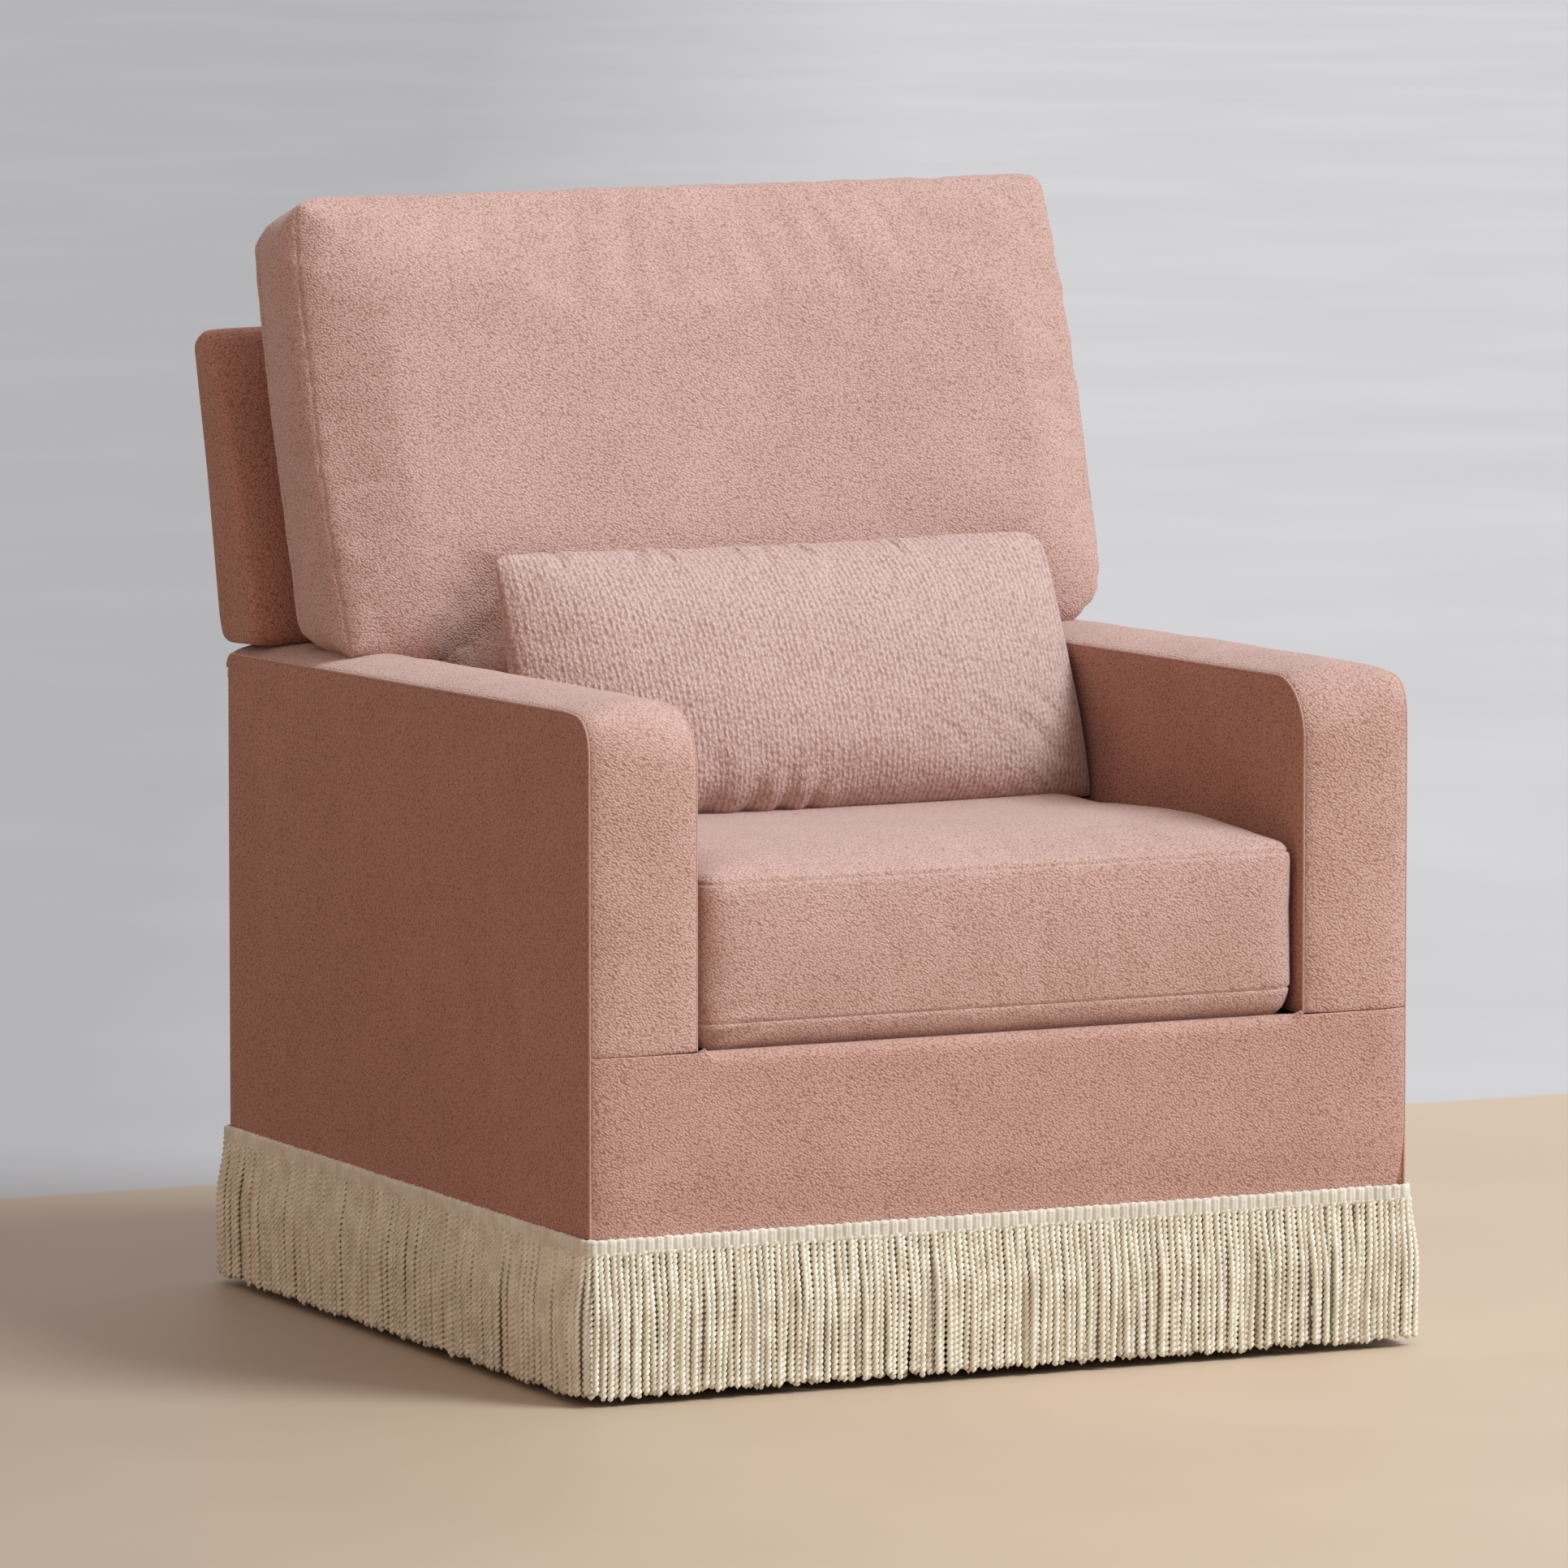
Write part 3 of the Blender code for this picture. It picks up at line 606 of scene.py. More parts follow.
def build_back_cover():
    """The outside back, from the fringe to under the back rest."""
    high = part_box("back_panel")[1].z
    shoulder = ARM_TOP_BACK - 0.0150
    across = spaced(-HALF_WIDTH + 0.004, HALF_WIDTH - 0.004, 0.012)
    across += [s * (ARM_INNER + d) for s in (-1, 1) for d in (-0.004, -0.0015, 0.0)]
    across.sort()
    nominal = spaced(SKIRT, high, 0.014, False, True)
    shares = [(z - SKIRT) / (high - SKIRT) for z in nominal]

    def pair(x, share):
        top = high if abs(x) < ARM_INNER - 0.001 else shoulder
        z = SKIRT + (top - SKIRT) * share
        edge = min(HALF_WIDTH - 0.004 - abs(x), top - z)
        puff = 0.002 * smooth(0, 0.12, edge) + uneven(x, BACK, z, 0.12, 0.0015) * smooth(0, 0.03, edge)
        return (x, BACK - roll(edge, 0.014, 0.0036) + puff, z), (x, BACK - 0.013, z)

    add_cover("outside_back_cover", *two_grids(across, shares, pair), shell_cloth, "back_panel")


def build_inside_back():
    """The padded panel between the arms, behind the cushions."""
    low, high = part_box("inside_back_panel")

    def pair(x, share):
        z = low.z + (high.z - low.z) * share
        y = low.y + (high.y - 0.014 - low.y) * share
        edge = min(x - low.x, high.x - x, z - low.z, high.z - z)
        return (x, y + roll(edge, 0.012, 0.004), z), (x, y + COVER_THICK, z)

    across = spaced(low.x + 0.001, high.x - 0.001, 0.014)
    grids = two_grids(across, [i / 24 for i in range(25)], pair)
    add_cover("inside_back_cover", *grids, shell_cloth, "inside_back_panel", 0.8)


def build_deck():
    """Deck cloth stretched over the springs, under the seat cushion."""
    low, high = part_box("seat_deck")

    def pair(i, k):
        y = low.y + (high.y - low.y) * i / 40
        x = low.x + (high.x - low.x) * k / 36
        edge = min(x - low.x, high.x - x, y - low.y, high.y - y)
        sag = 0.002 * smooth(0, 0.12, edge)
        return (x, y, high.z - 0.0006 - sag), (x, y, high.z - 0.0066 - sag)

    mesh = slab("deck_sheet", *two_grids(range(41), range(37), pair))
    piece = add_piece(mesh.name, mesh, deck_weave, ["seat_deck"])


def rounded_outline(corners, radius, steps):
    """A closed outline with each corner turned on an arc."""
    made = []
    count = len(corners)
    for i, corner in enumerate(corners):
        here = Vector(corner)
        before = Vector(corners[i - 1]) - here
        after = Vector(corners[(i + 1) % count]) - here
        angle = before.angle(after)
        reach = min(radius / tan(angle / 2), 0.48 * before.length, 0.48 * after.length)
        start = here + before.normalized() * reach
        finish = here + after.normalized() * reach
        made += corner_curve(start, here, finish, steps)
    return made


def build_back_rest():
    """The upright slab behind the back pillow, with soft rounded edges all round."""
    outline = rounded_outline(BACK_REST, 0.020, 5)
    count = len(outline)
    middle = sum(outline, Vector((0, 0))) / count
    normals = []
    for i in range(count):
        along = outline[(i + 1) % count] - outline[i - 1]
        normal = Vector((along.y, -along.x)).normalized()
        if normal.dot(outline[i] - middle) < 0:
            normal = -normal
        normals.append(normal)
    radius = 0.0095  # of the edges round the two ends
    half = HALF_WIDTH + 0.004
    stations = []
    for i in range(7):
        turn = pi / 2 * i / 6
        stations.append((half - radius * (1 - sin(turn)), radius * (1 - cos(turn))))
    inner = spaced(-half + radius, half - radius, 0.012, False, False)
    left = [(-x, inset) for x, inset in reversed(stations)]
    rings = left[:-1] + [(x, 0.0) for x in inner] + stations[1:]
    points = []
    for x, inset in rings:
        edge = half - abs(x)
        for p, normal in zip(outline, normals):
            puff = uneven(x, p.x, p.y, 0.06, 0.0014) * smooth(0, 0.03, edge)
            puff -= 0.0016 * (1 - smooth(0, 0.03, edge))
            place = p + normal * (puff - inset)
            points.append((x, MIDDLE + place.x, place.y))
    mesh = new_mesh("back_rest_cover", points, ring_faces(len(rings), count))
    with edited(mesh) as shape:
        caps = [face for face in shape.faces if len(face.verts) > 4]
        poked = bmesh.ops.poke(shape, faces=caps)
        for vert in poked["verts"]:
            vert.co.x += copysign(0.003, vert.co.x)
    mesh.shade_smooth()
    # Painted shade: the back rest takes the darker side copy of the bouclé.
    add_piece(mesh.name, mesh, side_cloth_painted_shade, ["back_rest"], 0.9)


# ---- cushions


def modified(mesh, *changes):
    """The mesh after modifiers, each a kind and its settings."""
    held = placed("held", mesh)
    for kind, settings in changes:
        change = held.modifiers.new(kind, kind)
        for name, value in settings.items():
            setattr(change, name, value)
    bpy.context.view_layer.update()
    made = bpy.data.meshes.new_from_object(held.evaluated_get(bpy.context.evaluated_depsgraph_get()))
    bpy.data.objects.remove(held)
    return made


def remeshed(mesh, size):
    """The same form in even quads."""
    return modified(mesh, ("REMESH", {"mode": "VOXEL", "voxel_size": size}))


def refined(mesh):
    """The form after a light smoothing and one subdivision."""
    return modified(mesh, ("SMOOTH", {"iterations": 2, "factor": 0.5}), ("SUBSURF", {"levels": 1}))


def vertex_values(mesh, kind):
    flat = np.empty(len(mesh.vertices) * 3)
    mesh.vertices.foreach_get(kind, flat)
    return flat.reshape(-1, 3)


def coordinates(mesh):
    return vertex_values(mesh, "co")


def put(mesh, places):
    mesh.vertices.foreach_set("co", places.reshape(-1))
    mesh.update()


def stuffed(mesh, cap, held, pressure, slack):
    """Swells the cover on its filling by cloth simulation, with the sewn edges held, and caps the move."""
    before = coordinates(mesh)
    cover = placed("cover", mesh)
    group = cover.vertex_groups.new(name="sewn")
    weights = held(before)
    for index in np.nonzero(weights > 0.01)[0]:
        group.add([int(index)], float(weights[index]), "REPLACE")
    cloth = cover.modifiers.new("Stuffing", "CLOTH")
    settings = cloth.settings
    settings.quality = 4
    settings.mass = 0.25
    settings.tension_stiffness = 14
    settings.compression_stiffness = 12
    settings.shear_stiffness = 5
    settings.bending_stiffness = 0.35
    settings.use_pressure = True
    settings.uniform_pressure_force = pressure
    settings.shrink_min = -slack
    settings.vertex_group_mass = "sewn"
    settings.effector_weights.gravity = 0
    cloth.collision_settings.use_collision = False
    scene = bpy.context.scene
    for number in range(1, 21):
        scene.frame_set(number)
    seen = cover.evaluated_get(bpy.context.evaluated_depsgraph_get())
    swollen = bpy.data.meshes.new_from_object(seen)
    after = coordinates(swollen)
    move = after - before
    length = np.linalg.norm(move, axis=1, keepdims=True)
    move *= np.minimum(1, cap / np.maximum(length, 1e-9))
    put(swollen, before + move)
    bpy.data.objects.remove(cover)
    scene.frame_set(1)
    return swollen


def sew(mesh, point, normal, depth, width):
    """Draws a seam where a plane cuts the cover: a narrow valley with the cloth rising on both sides."""
    normal = Vector(normal).normalized()
    point = Vector(point)
    with edited(mesh) as shape:
        for shift in (-width, 0.0, width):
            bmesh.ops.bisect_plane(
                shape,
                geom=[*shape.verts, *shape.edges, *shape.faces],
                plane_co=point + normal * shift,
                plane_no=normal,
                dist=0.0002,
            )
        shape.normal_update()
        moves = []
        for vert in shape.verts:
            away = abs((vert.co - point).dot(normal))
            if away < width * 0.9:
                moves.append((vert, vert.normal * -(depth * (1 - away / width))))
        for vert, move in moves:
            vert.co += move
    mesh.shade_smooth()
    return mesh


def creased(mesh, creases):
    """Presses folds into a cover. Each is (start, end, depth, width): a line in space and its section."""
    places, out = coordinates(mesh), vertex_values(mesh, "normal")
    for start, end, depth, width in creases:
        start, end = np.array(start), np.array(end)
        along = end - start
        length = np.linalg.norm(along)
        share = np.clip((places - start) @ along / length**2, 0, 1)
        away = np.linalg.norm(places - start - share[:, None] * along, axis=1)
        press = np.exp(-((away / width) ** 2)) - 0.45 * np.exp(-(((away - 2.1 * width) / width) ** 2))
        fade = np.sqrt(np.clip(1 - share, 0, 1))
        places -= out * (depth * press * (0.12 + 0.88 * fade))[:, None]
    put(mesh, places)
    return mesh


def block_mesh(name, low, high, upright, top, bottom):
    """A box with its upright, top and bottom edges rounded."""
    shape = bmesh.new()
    bmesh.ops.create_cube(shape, size=1)
    for vert in shape.verts:
        vert.co = Vector([(a + b) / 2 + c * (b - a) for a, b, c in zip(low, high, vert.co)])
    edges = [e for e in shape.edges if abs(e.verts[0].co.z - e.verts[1].co.z) > 0.01]
    bmesh.ops.bevel(shape, geom=edges, offset=upright, segments=6, profile=0.5, affect="EDGES")
    for level, radius in ((high[2], top), (low[2], bottom)):
        edges = [e for e in shape.edges if all(abs(v.co.z - level) < 1e-5 for v in e.verts)]
        bmesh.ops.bevel(shape, geom=edges, offset=radius, segments=5, profile=0.5, affect="EDGES")
    mesh = bpy.data.meshes.new(name)
    shape.to_mesh(mesh)
    shape.free()
    return mesh


def build_seat_cushion():
    low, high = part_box("seat_cushion")
    low = Vector((low.x - 0.0025, low.y + 0.004, low.z))
    high = Vector((high.x + 0.0025, high.y - 0.004, high.z - 0.008))
    upper, lower = high.z - 0.008, low.z + 0.0265
    mesh = remeshed(block_mesh("seat_cushion_form", low, high, 0.020, 0.012, 0.010), 0.0070)
    places = coordinates(mesh)
    x, y, z = places.T
    across, behind = np.clip(np.abs(x) / high.x, 0, 1), y - low.y
    lift = np.clip((z - (low.z + high.z) / 2) / ((high.z - low.z) / 2), 0, 1)
    crown = 0.0120 * np.sin(pi / 2 * np.clip(behind / 0.15, 0, 1))
    crown -= 0.0110 * np.sin(pi / 2 * np.clip((behind - 0.12) / 0.24, 0, 1)) ** 2
    # Below the lower seam the cover turns in under the filling, at the front and at both sides.
    sink = np.clip((lower - z) / (lower - low.z), 0, 1)
    places[:, 2] += crown * (1 - across**14) * lift**2
    places[:, 1] += 0.009 * sink * np.clip(1 - behind / 0.06, 0, 1)
    places[:, 0] -= np.sign(x) * 0.006 * sink * np.clip(1 - (high.x - np.abs(x)) / 0.06, 0, 1)
    put(mesh, places)

    def held(p):
        side = np.minimum(high.x - np.abs(p[:, 0]), np.minimum(p[:, 1] - low.y, high.y - p[:, 1]))
        near = np.minimum(np.abs(p[:, 2] - upper), np.abs(p[:, 2] - lower))
        sewn = np.clip(1.4 - near / 0.005, 0, 1) * (side < 0.02)
        under = p[:, 2] < low.z + 0.002
        return np.maximum(sewn * 0.9, under * 1.0)

    mesh = refined(stuffed(mesh, 0.005, held, 3.0, 0.003))
    rng = random.Random(7)
    creases = []
    for level, direction in ((upper, -1), (lower, 1)):
        for i in range(8):
            spot = rng.uniform(-0.26, 0.26)
            start = (spot, low.y, level)
            end = (spot + rng.uniform(-0.02, 0.02), low.y, level + direction * rng.uniform(0.012, 0.035))
            creases.append((start, end, rng.uniform(0.0002, 0.0007), rng.uniform(0.004, 0.007)))
    # Two pulls in the cloth at the lower left corner.
    left, near = -high.x + 0.012, low.y + 0.010
    creases += [
        ((left - 0.004, near, lower + 0.004), (left + 0.05, low.y, lower + 0.022), 0.0022, 0.007),
        ((left, near, lower - 0.014), (left + 0.042, low.y + 0.004, lower - 0.004), 0.0022, 0.006),
    ]
    mesh = creased(mesh, creases)
    mesh = sew(mesh, (0, 0, upper), (0, 0, 1), 0.0020, 0.0020)
    mesh = sew(mesh, (0, 0, lower), (0, 0, 1), 0.0018, 0.0020)
    # Painted light: the seat cushion takes the lighter pillow copy of the bouclé.
    add_piece("seat_cushion_stuffed", mesh, pillow_cloth_painted_light, ["seat_cushion"], 0.95)


def pillow_world(x, up, deep):
    """Places in space, from the back pillow's own leaning plane."""
    y = MIDDLE + BACK_SEAM[0] + up * LEAN_SIN + deep * LEAN_COS
    z = BACK_SEAM[1] + up * LEAN_COS - deep * LEAN_SIN
    return np.stack([x + PILLOW_SHIFT, y, z], axis=-1)


def in_pillow(x, up, deep):
    return Vector(pillow_world(x, up, deep))


def pillow_local(places):
    """The reverse: across, up the lean, and into the pillow."""
    y, z = places[:, 1] - MIDDLE - BACK_SEAM[0], places[:, 2] - BACK_SEAM[1]
    return places[:, 0] - PILLOW_SHIFT, y * LEAN_SIN + z * LEAN_COS, y * LEAN_COS - z * LEAN_SIN


def ear_low(deep):
    """The underside of the ears, which follows the arm tops."""
    return (EAR_REST_Z - BACK_SEAM[1] + deep * LEAN_SIN) / LEAN_COS


def ear_reach(up):
    """Half the pillow's width, a little more towards its bottom corners."""
    share = np.clip(up / PILLOW_TOP, 0, 1)
    return PILLOW_HALF + 0.0045 * (1 - share) + 0.005 * np.sin(pi * share)


def pillow_edge(x, up, deep):
    """Distance from the pillow's edge, seen from the front."""
    ears = np.minimum(ear_reach(up) - np.abs(x), np.minimum(PILLOW_TOP - up, up - ear_low(deep)))
    tongue = np.minimum(TONGUE_HALF - np.abs(x), np.minimum(PILLOW_TOP - up, up - TONGUE_LOW))
    return np.maximum(ears, tongue)


def build_back_pillow():
    points = []
    for deep in (0.0, PILLOW_THICK):
        low = ear_low(deep)
        wide, narrow = ear_reach(low), ear_reach(PILLOW_TOP)
        bulge = (ear_reach(0.20), 0.20)
        half = [(TONGUE_HALF, TONGUE_LOW), (TONGUE_HALF, low), (wide, low), bulge, (narrow, PILLOW_TOP)]
        corners = half + [(-x, up) for x, up in reversed(half)]
        radii = [0.030, 0.016, 0.094, 0.060, 0.024, 0.046, 0.060, 0.040, 0.016, 0.030]
        for i, corner in enumerate(corners):
            here = Vector(corner)
            before = (Vector(corners[i - 1]) - here).normalized() * radii[i]
            after = (Vector(corners[(i + 1) % len(corners)]) - here).normalized() * radii[i]
            curve = corner_curve(here + before, here, here + after, 8)
            points += [in_pillow(p.x, p.y, deep) for p in curve]
    count = len(points) // 2
    faces = [(i, (i + 1) % count, count + (i + 1) % count, count + i) for i in range(count)]
    faces += [tuple(range(count)), tuple(range(count, 2 * count))]
    mesh = remeshed(new_mesh("back_pillow_form", points, faces), 0.0076)

    x, up, deep = pillow_local(coordinates(mesh))
    edge = np.clip(pillow_edge(x, up, deep), 0, 1)
    share = deep / PILLOW_THICK
    front_rim = 0.027 * (1 - np.sqrt(1 - np.clip(1 - edge / 0.086, 0, 1) ** 2))
    back_rim = 0.034 * (1 - np.sqrt(1 - np.clip(1 - edge / 0.046, 0, 1) ** 2))
    back_rim *= 0.35 + 0.65 * np.clip((up - ear_low(0.0)) / 0.10, 0, 1)
    swell = 1 - np.exp(-edge / 0.070)
    near, far = np.clip(1 - share * 2.5, 0, 1), np.clip(share * 2.5 - 1.5, 0, 1)
    deep += near * (front_rim - 0.018 * swell) - far * (back_rim + 0.010 - 0.014 * swell)
    put(mesh, pillow_world(x, up, deep))

    def held(places):
        x, up, deep = pillow_local(places)
        seam = np.min([np.abs(deep - level) for level in PILLOW_SEAMS], axis=0)
        return 0.8 * np.clip(1.5 - seam / 0.007, 0, 1) * (pillow_edge(x, up, deep) < 0.014)

    mesh = refined(stuffed(mesh, 0.010, held, 3.5, 0.012))
    rng = random.Random(11)
    folds = []

    def fold(start, end, depth, width):
        folds.append((in_pillow(*start), in_pillow(*end), depth, width))

    high = PILLOW_TOP + 0.004
    for _ in range(18):
        spot, slant = rng.uniform(-0.36, 0.36), rng.uniform(-0.012, 0.012)
        length = rng.uniform(0.008, 0.024)
        depth, width = rng.uniform(0.0006, 0.0020), rng.uniform(0.004, 0.007)
        fold((spot, high, 0.006), (spot + slant, high - length, -0.006), depth, width)
        fold((spot, high, 0.006), (spot - slant, high, 0.012 + length), depth * 0.8, width)
    for side in (-1, 1):
        for _ in range(12):
            spot, drop = rng.uniform(0.02, 0.34), rng.uniform(-0.03, 0.03)
            reach = side * (ear_reach(spot) + 0.004)
            depth, width = rng.uniform(0.0008, 0.002), rng.uniform(0.006, 0.011)
            fold((reach, spot, 0.006), (reach, spot + drop, rng.uniform(0.03, 0.075)), depth, width)
        corner = side * ear_reach(PILLOW_TOP)
        fold((corner, high, 0), (corner - side * 0.026, high - 0.022, -0.006), 0.0030, 0.006)
        fold((corner, high - 0.012, 0), (corner - side * 0.012, high - 0.036, -0.004), 0.0016, 0.005)
        # Where an ear turns down to the tongue, the cloth folds out over the arm.
        inner, low = side * (TONGUE_HALF + 0.004), ear_low(0)
        turned = inner - side * 0.004
        fold((inner, low - 0.004, 0), (inner - side * 0.060, low + 0.040, -0.014), 0.0105, 0.011)
        fold((inner, low + 0.014, 0), (inner - side * 0.070, low + 0.078, -0.016), 0.0030, 0.015)
        fold((turned, low - 0.03, 0), (inner - side * 0.030, low + 0.09, -0.012), 0.010, 0.026)
    mesh = creased(mesh, folds)
    normal = in_pillow(0, 0, 1) - in_pillow(0, 0, 0)
    for deep in PILLOW_SEAMS:
        mesh = sew(mesh, in_pillow(0, 0, deep), normal, 0.0011, 0.0018)
    # Painted light: the back pillow takes the lighter pillow copy of the bouclé.
    add_piece("back_pillow_stuffed", mesh, pillow_cloth_painted_light, ["back_pillow"], 0.8)


def lumbar_point(u, z, facing):
    """A point of the lumbar pillow's front (-1) or back (1), with u from -1 to 1 across it."""
    low, high = LUMBAR_SECTION[0][0], LUMBAR_SECTION[-1][0]
    heights, *columns = zip(*LUMBAR_SECTION)
    middle, ahead, behind = [np.interp(z, heights, column) for column in columns]
    share = (z - low) / (high - low)
    half = LUMBAR_HALF[1] + (LUMBAR_HALF[0] - LUMBAR_HALF[1]) * share
    corner = 0.024 if u > 0 else 0.010
    half -= corner * (1 - sqrt(1 - max(0.0, 1 - (high - z) / corner) ** 2))
    full = (1 - min(1, abs(u)) ** (2.7 if u < 0 else 3.8)) ** 0.5 * (1 - 0.10 * u * u)
    drop = 0.004 * (1 - u * u) * smooth(0.66, high, z)
    reach = ahead if facing < 0 else behind
    return LUMBAR_SHIFT + half * u, MIDDLE + middle + facing * reach * full, z - drop


def build_lumbar_pillow():
    low, high = LUMBAR_SECTION[0][0], LUMBAR_SECTION[-1][0]
    rows, cols = 40, 90
    steps = [-cos(pi * c / cols) for c in range(cols + 1)]
    front, back = [], []
    for r in range(rows + 1):
        z = low + (high - low) * sin(pi / 2 * r / rows)
        front.append([lumbar_point(u, z, -1) for u in steps])
        back.append([lumbar_point(u, z, 1) for u in steps])
    form = slab("lumbar_form", front, back)
    with edited(form) as shape:
        bmesh.ops.remove_doubles(shape, verts=shape.verts, dist=0.0004)
        bmesh.ops.recalc_face_normals(shape, faces=shape.faces)
    mesh = remeshed(form, 0.0045)

    def held(places):
        x, _, z = places.T
        half = np.interp(z, (low, high), LUMBAR_HALF[::-1])
        seam = np.minimum(half - np.abs(x - LUMBAR_SHIFT), high - z)
        under = z < low + 0.003
        return np.maximum(0.9 * np.clip(1.5 - seam / 0.007, 0, 1), under)

    mesh = refined(stuffed(mesh, 0.005, held, 2.2, 0.003))
    rng = random.Random(5)
    folds = []

    def fold(x0, z0, x1, z1, depth, width):
        """A fold on the front, between two places seen from the front."""
        ends = [lumbar_point((x - LUMBAR_SHIFT) / LUMBAR_HALF[1], z, -1) for x, z in ((x0, z0), (x1, z1))]
        folds.append((*ends, depth, width))

    for spot in (-0.215, -0.13, -0.105, -0.03, 0.0, 0.04, 0.145):
        depth, width = rng.uniform(0.0016, 0.0034), rng.uniform(0.004, 0.006)
        lean = rng.uniform(-0.008, 0.008)
        fold(spot, high, spot + lean, high - rng.uniform(0.008, 0.016), depth, width)
    for spot in (-0.190, -0.112, -0.072, -0.040, -0.012):
        depth, width = rng.uniform(0.0034, 0.0054), rng.uniform(0.008, 0.011)
        lean = rng.uniform(0.0, 0.010)
        fold(spot, low + 0.004, spot + lean, low + rng.uniform(0.046, 0.072), depth, width)
    mesh = creased(mesh, folds)
    add_piece(
        "lumbar_pillow_stuffed", mesh, rib_cloth, ["lumbar_pillow"], 0.85, "lumbar_pillow"
    )


# ---- fringe


def skirt_point(run, out, corner):
    """The point this far round the skirt, anticlockwise from the front left corner."""
    half_x, half_y = HALF_WIDTH + out, (BACK - FRONT) / 2 + out
    line_x, line_y = 2 * (half_x - corner), 2 * (half_y - corner)
    arc = pi / 2 * corner
    run = run % skirt_length(out, corner)
    sides = (
        ("front", line_x, (0, -1), (1, 0)),
        ("right", line_y, (1, 0), (0, 1)),
        ("back", line_x, (0, 1), (-1, 0)),
        ("left", line_y, (-1, 0), (0, -1)),
    )
    for name, length, (nx, ny), (tx, ty) in sides:
        if run < length:
            centre = run - length / 2
            return nx * half_x + tx * centre, MIDDLE + ny * half_y + ty * centre, nx, ny, name
        run -= length
        if run < arc:
            turn = run / corner
            cx = nx * (half_x - corner) + tx * length / 2
            cy = ny * (half_y - corner) + ty * length / 2
            ox = nx * cos(turn) + tx * sin(turn)
            oy = ny * cos(turn) + ty * sin(turn)
            return cx + corner * ox, MIDDLE + cy + corner * oy, ox, oy, name
        run -= arc
    return skirt_point(0, out, corner)


def skirt_length(out, corner):
    half_x, half_y = HALF_WIDTH + out, (BACK - FRONT) / 2 + out
    return 4 * (half_x + half_y - 2 * corner) + 2 * pi * corner


def build_header():
    """The fringe's woven heading: a row of upright loops over a flat tape."""
    out, corner = 0.0006, 0.008
    total = skirt_length(out, corner)
    loops = round(total / LOOP_PITCH)
    per_loop = 10
    low, high = HEADER_Z
    levels = [0.0, 0.05, 0.13, 0.24, 0.36, 0.48, 0.60, 0.72, 0.82, 0.90, 0.96, 1.0]
    rng = random.Random(3)
    lean = [rng.uniform(-1, 1) for _ in range(loops)]
    points, faces = [], []
    count = loops * per_loop
    for i in range(count):
        x, y, nx, ny, _ = skirt_point(i * total / count, out, corner)
        phase = (i % per_loop + 0.5) / per_loop
        number = i // per_loop
        arch = sin(pi * phase) ** 0.55
        split = 0.35 * exp(-(((phase - 0.5) / 0.07) ** 2))
        thick = 0.0016 + 0.0030 * arch * (1 - split)
        rise = 0.0016 * arch + 0.0004 * lean[number]
        for share in levels:
            z = low + (high - low + rise) * share
            ends = sqrt(max(0.0, 1 - (2 * share - 1) ** 6))
            reach = 0.0004 + thick * (0.35 + 0.65 * ends)
            reach += 0.0004 * sin(2 * pi * (z - low) / 0.0032 + pi * (number % 2))
            points.append((x + nx * reach, y + ny * reach, z))
        points.append((x, y, low + (high - low + rise)))
        points.append((x, y, low))
    ring = len(levels) + 2
    for i in range(count):
        for k in range(ring):
            a, b = i * ring + k, i * ring + (k + 1) % ring
            c = (i + 1) % count
            faces.append((a, b, c * ring + (k + 1) % ring, c * ring + k))
    mesh = new_mesh("fringe_heading", points, faces)
    add_piece(mesh.name, mesh, tape_cotton)


def build_cords():
    """Twisted two-strand cords on all four sides: an outer row in leaning groups, and an inner row."""
    build_cord_row("fringe_cords", 0.0036, 0.00325, 82, 29, True)
    build_cord_row("fringe_inner_cords", -0.0014, 0.00370, 36, 31, False)


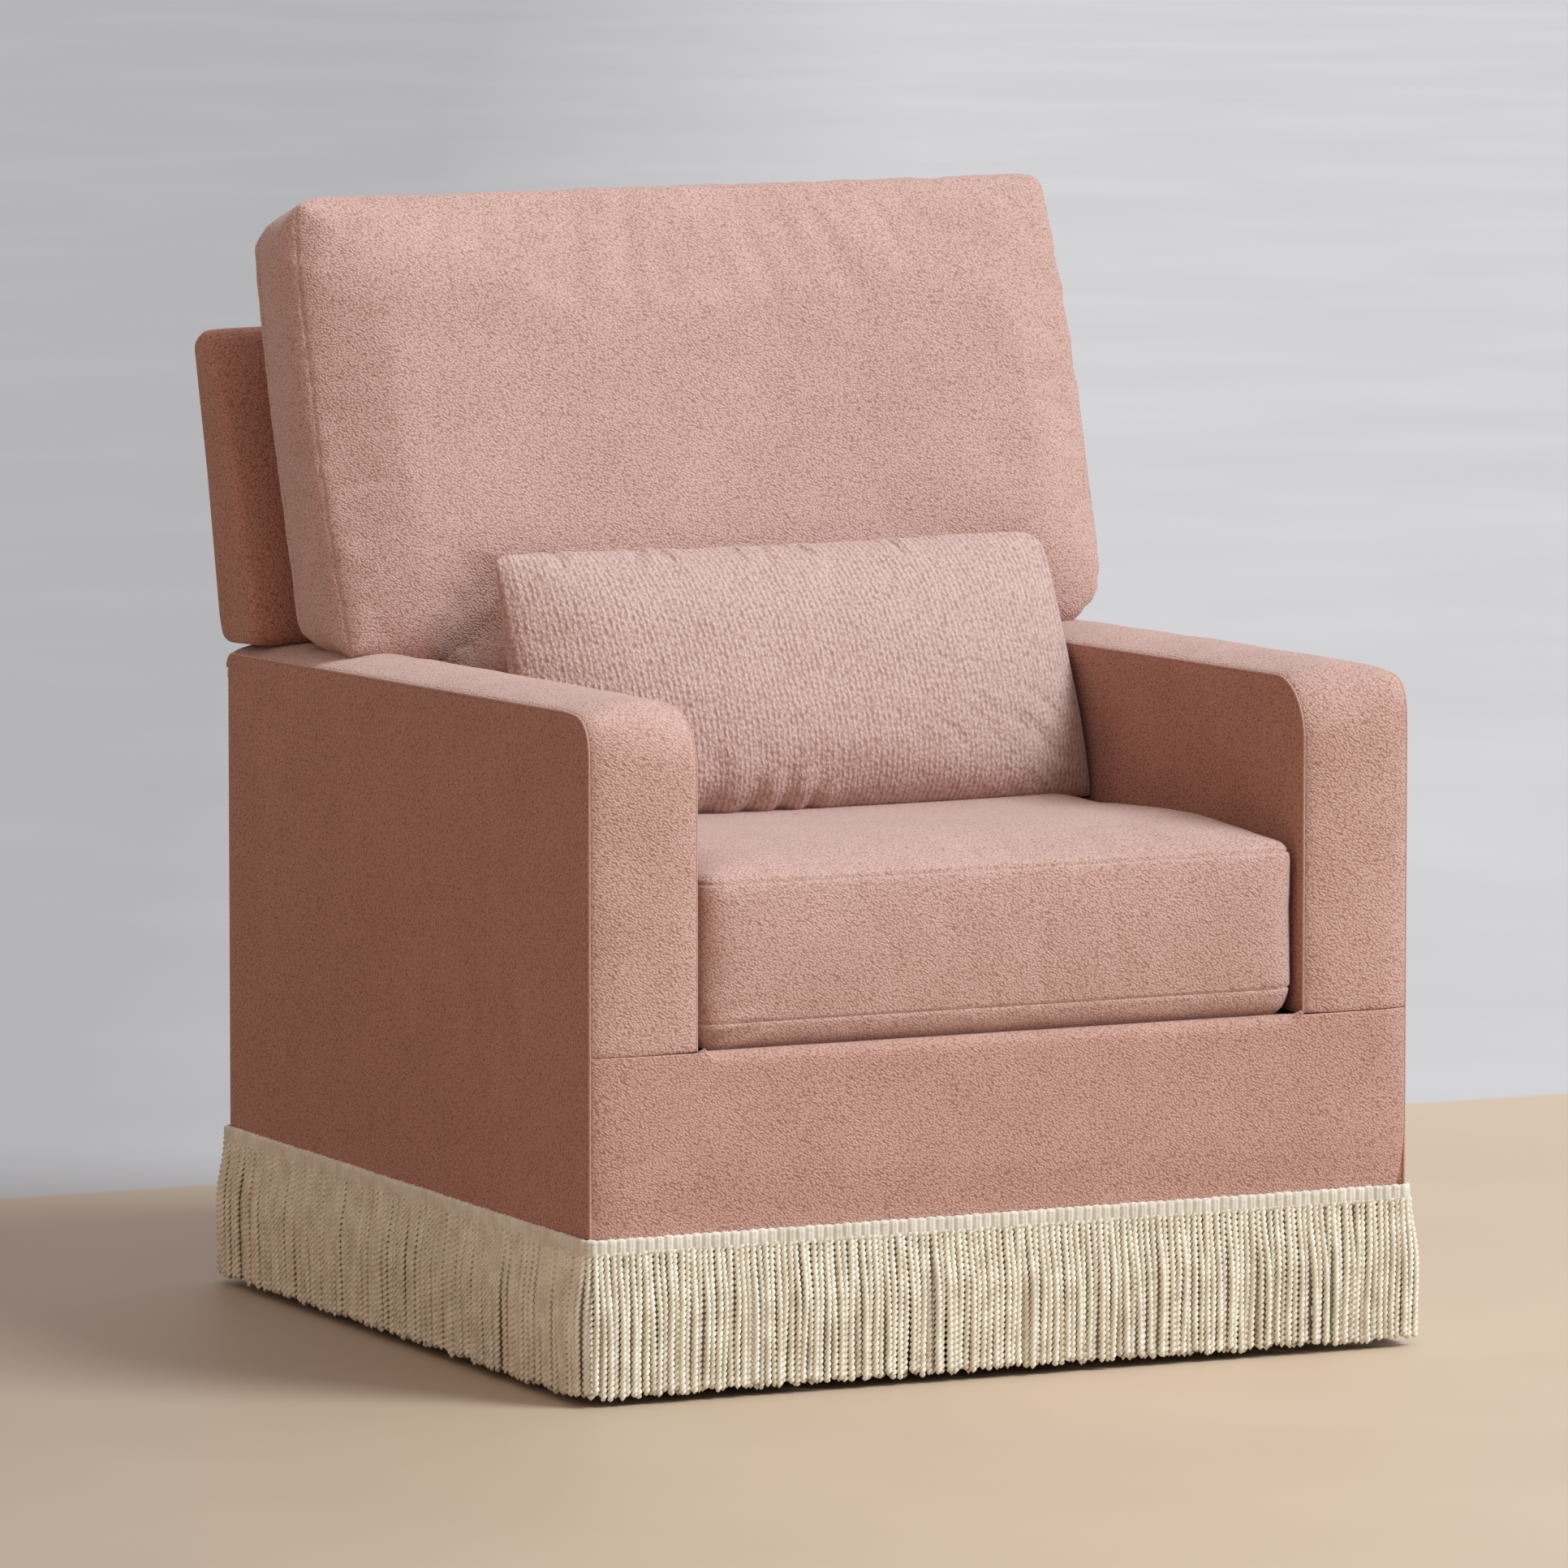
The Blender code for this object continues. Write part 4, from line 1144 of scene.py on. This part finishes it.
def build_cord_row(title, out, thick, rings, seed, replaces):
    rng = random.Random(seed)
    corner, sides = 0.011, 8
    total = skirt_length(out, corner)
    count = round(total / CORD_PITCH)
    groups, left = [], 0
    for i in range(count):
        if left == 0:
            left = size = rng.randint(3, 7)
            middle = i + (size - 1) / 2
            flare = rng.uniform(0.0, 1.0)
            drift = rng.uniform(-0.0013, 0.0013)
        left -= 1
        groups.append((middle, flare, drift))
    cords = {name: ([], []) for name in ("front", "right", "back", "left")}
    for i in range(count):
        middle, flare, drift = groups[i]
        run = (i + 0.5) * total / count
        x, y, nx, ny, name = skirt_point(run, out, corner)
        tx, ty = -ny, nx
        gather = (middle - i) * 0.00030 + drift + rng.uniform(-0.0009, 0.0009)
        tip = 0.0045 + rng.uniform(0, 0.0050) + 0.002 * flare
        top = HEADER_Z[0] + 0.004
        layer = 0.0022 * (i % 2)
        swing = 0.0035 + 0.0028 * flare + rng.uniform(-0.0012, 0.0012)
        phase = rng.uniform(0, 2 * pi)
        radius = thick * rng.uniform(0.93, 1.08)
        wave = rng.uniform(0, 2 * pi)
        bend = rng.uniform(-0.0012, 0.0012)
        points, faces = cords[name]
        faces += ring_faces(rings + 1, sides, len(points))
        length = top - tip
        for r in range(rings + 1):
            share = r / rings
            z = top - length * share
            ease = smooth(0, 1, share)
            side = gather * ease + bend * sin(pi * share * 1.5 + wave)
            away = swing * (1.25 * smooth(0, 0.45, share) - 0.35 * smooth(0.45, 1.0, share))
            away += layer * (0.35 + 0.65 * ease) - 0.0012
            turn = phase + 2 * pi * (length * share) / CORD_TWIST
            close = sqrt(max(0.0, 1 - max(0.0, (share - 0.955) / 0.045) ** 2))
            fat = (1 + 0.10 * smooth(0.90, 0.955, share)) * max(close, 0.02)
            for k in range(sides):
                a = 2 * pi * k / sides
                # Two round strands side by side, turning as they go down.
                lobes = 0.64 + 0.40 * abs(cos(a)) ** 0.8
                px = radius * fat * lobes * cos(a)
                py = radius * fat * 0.82 * lobes * sin(a)
                u = px * cos(turn) - py * sin(turn)
                v = px * sin(turn) + py * cos(turn)
                sideways, outwards = side + u, away + v
                px = x + tx * sideways + nx * outwards
                py = y + ty * sideways + ny * outwards
                points.append((px, py, z))
    for name, (points, faces) in cords.items():
        mesh = new_mesh(f"{title}_{name}", points, faces)
        hidden = [f"fringe_{name}"] if replaces else []
        add_piece(mesh.name, mesh, cord_cotton, hidden)


# ---- stage, light, view


def build_stage():
    mesh = bpy.data.meshes.new("floor")
    reach = 40.0
    corners = [(-reach, -reach, 0), (reach, -reach, 0), (reach, reach, 0), (-reach, reach, 0)]
    mesh.from_pydata(corners, [], [(0, 1, 2, 3)])
    floor = placed("floor", mesh)
    made, tree, shader, place = new_material("pale_floor")
    depth = node(tree, "ShaderNodeSeparateXYZ", {"Vector": place}).outputs["Y"]
    behind = remap(tree, depth, 0.93, 0.95)
    cloud = cloudy(tree, place, 1.5, 3.0)
    warm = ramp(tree, cloud, (0.3, (0.55, 0.405, 0.285)), (0.7, (0.61, 0.455, 0.325)))
    cool = ramp(tree, cloud, (0.3, (0.52, 0.49, 0.48)), (0.7, (0.56, 0.53, 0.52)))
    mix = node(tree, "ShaderNodeMix", {0: behind, 6: warm, 7: cool}, data_type="RGBA").outputs[2]
    # Painted shade: the floor's colour is darkened towards the left, standing in for the soft light
    # reaching it least.
    across = vectors(tree, "DOT_PRODUCT", place, (0.90, -0.43, 0))
    shade = remap(tree, across, -0.75, 0.25, 0.66)
    set_sockets(tree, shader, {"Base Color": vectors(tree, "MULTIPLY", mix, shade), "Roughness": 0.5})
    mesh.materials.append(made)

    build_sky()
    add_sun("key", (0.50, -0.47, 0.73), 3.15, 24, (0.80, 0.93, 1.0))
    add_sun("left_fill", (-0.75, -0.55, 0.36), 0.33, 40, (1.0, 0.90, 0.80))


def add_sun(name, towards, energy, spread, colour):
    sun = bpy.data.lights.new(name, "SUN")
    sun.energy = energy
    sun.angle = radians(spread)
    sun.color = colour
    lamp = placed(name, sun)
    lamp.rotation_euler = Vector(towards).to_track_quat("Z", "Y").to_euler()


def build_sky():
    """Soft light all round: cool from above and the right, warm and dim from low on the left."""
    world = bpy.data.worlds.new("studio")
    world.use_nodes = True
    tree = world.node_tree
    towards = node(tree, "ShaderNodeTexCoord").outputs["Generated"]
    share = remap(tree, vectors(tree, "DOT_PRODUCT", towards, (0.60, -0.10, 0.79)), -0.35, 0.95)
    low, middle, high = (0.33, 0.22, 0.17), (0.37, 0.28, 0.225), (0.86, 0.90, 0.98)
    colour = ramp(tree, share, (0.0, low), (0.35, middle), (0.9, high))
    set_sockets(tree, tree.nodes["Background"], {"Color": colour, "Strength": 0.95})
    bpy.context.scene.world = world


def build_camera():
    data = bpy.data.cameras.new("view")
    data.lens = 304.0
    data.sensor_width = 36.0
    data.clip_end = 200.0
    camera = placed("view", data)
    place = Vector((-5.1076, -10.6711 + MIDDLE, 1.8453))
    aim = Vector((-0.0242, MIDDLE, 0.4823))
    camera.location = place
    camera.rotation_euler = (aim - place).to_track_quat("-Z", "Y").to_euler()
    bpy.context.scene.camera = camera


build_camera()
finish_cad_nodes()
for name, side in SIDES:
    build_arm_boxing(name, side)
    build_arm_panel(name, side, True)
    build_arm_panel(name, side, False)
    build_arm_welts(name, side)
build_front_cover()
build_back_cover()
build_inside_back()
build_deck()
build_back_rest()
build_seat_cushion()
build_back_pillow()
build_lumbar_pillow()
build_header()
build_cords()
build_stage()
bpy.context.scene.view_settings.view_transform = "Standard"
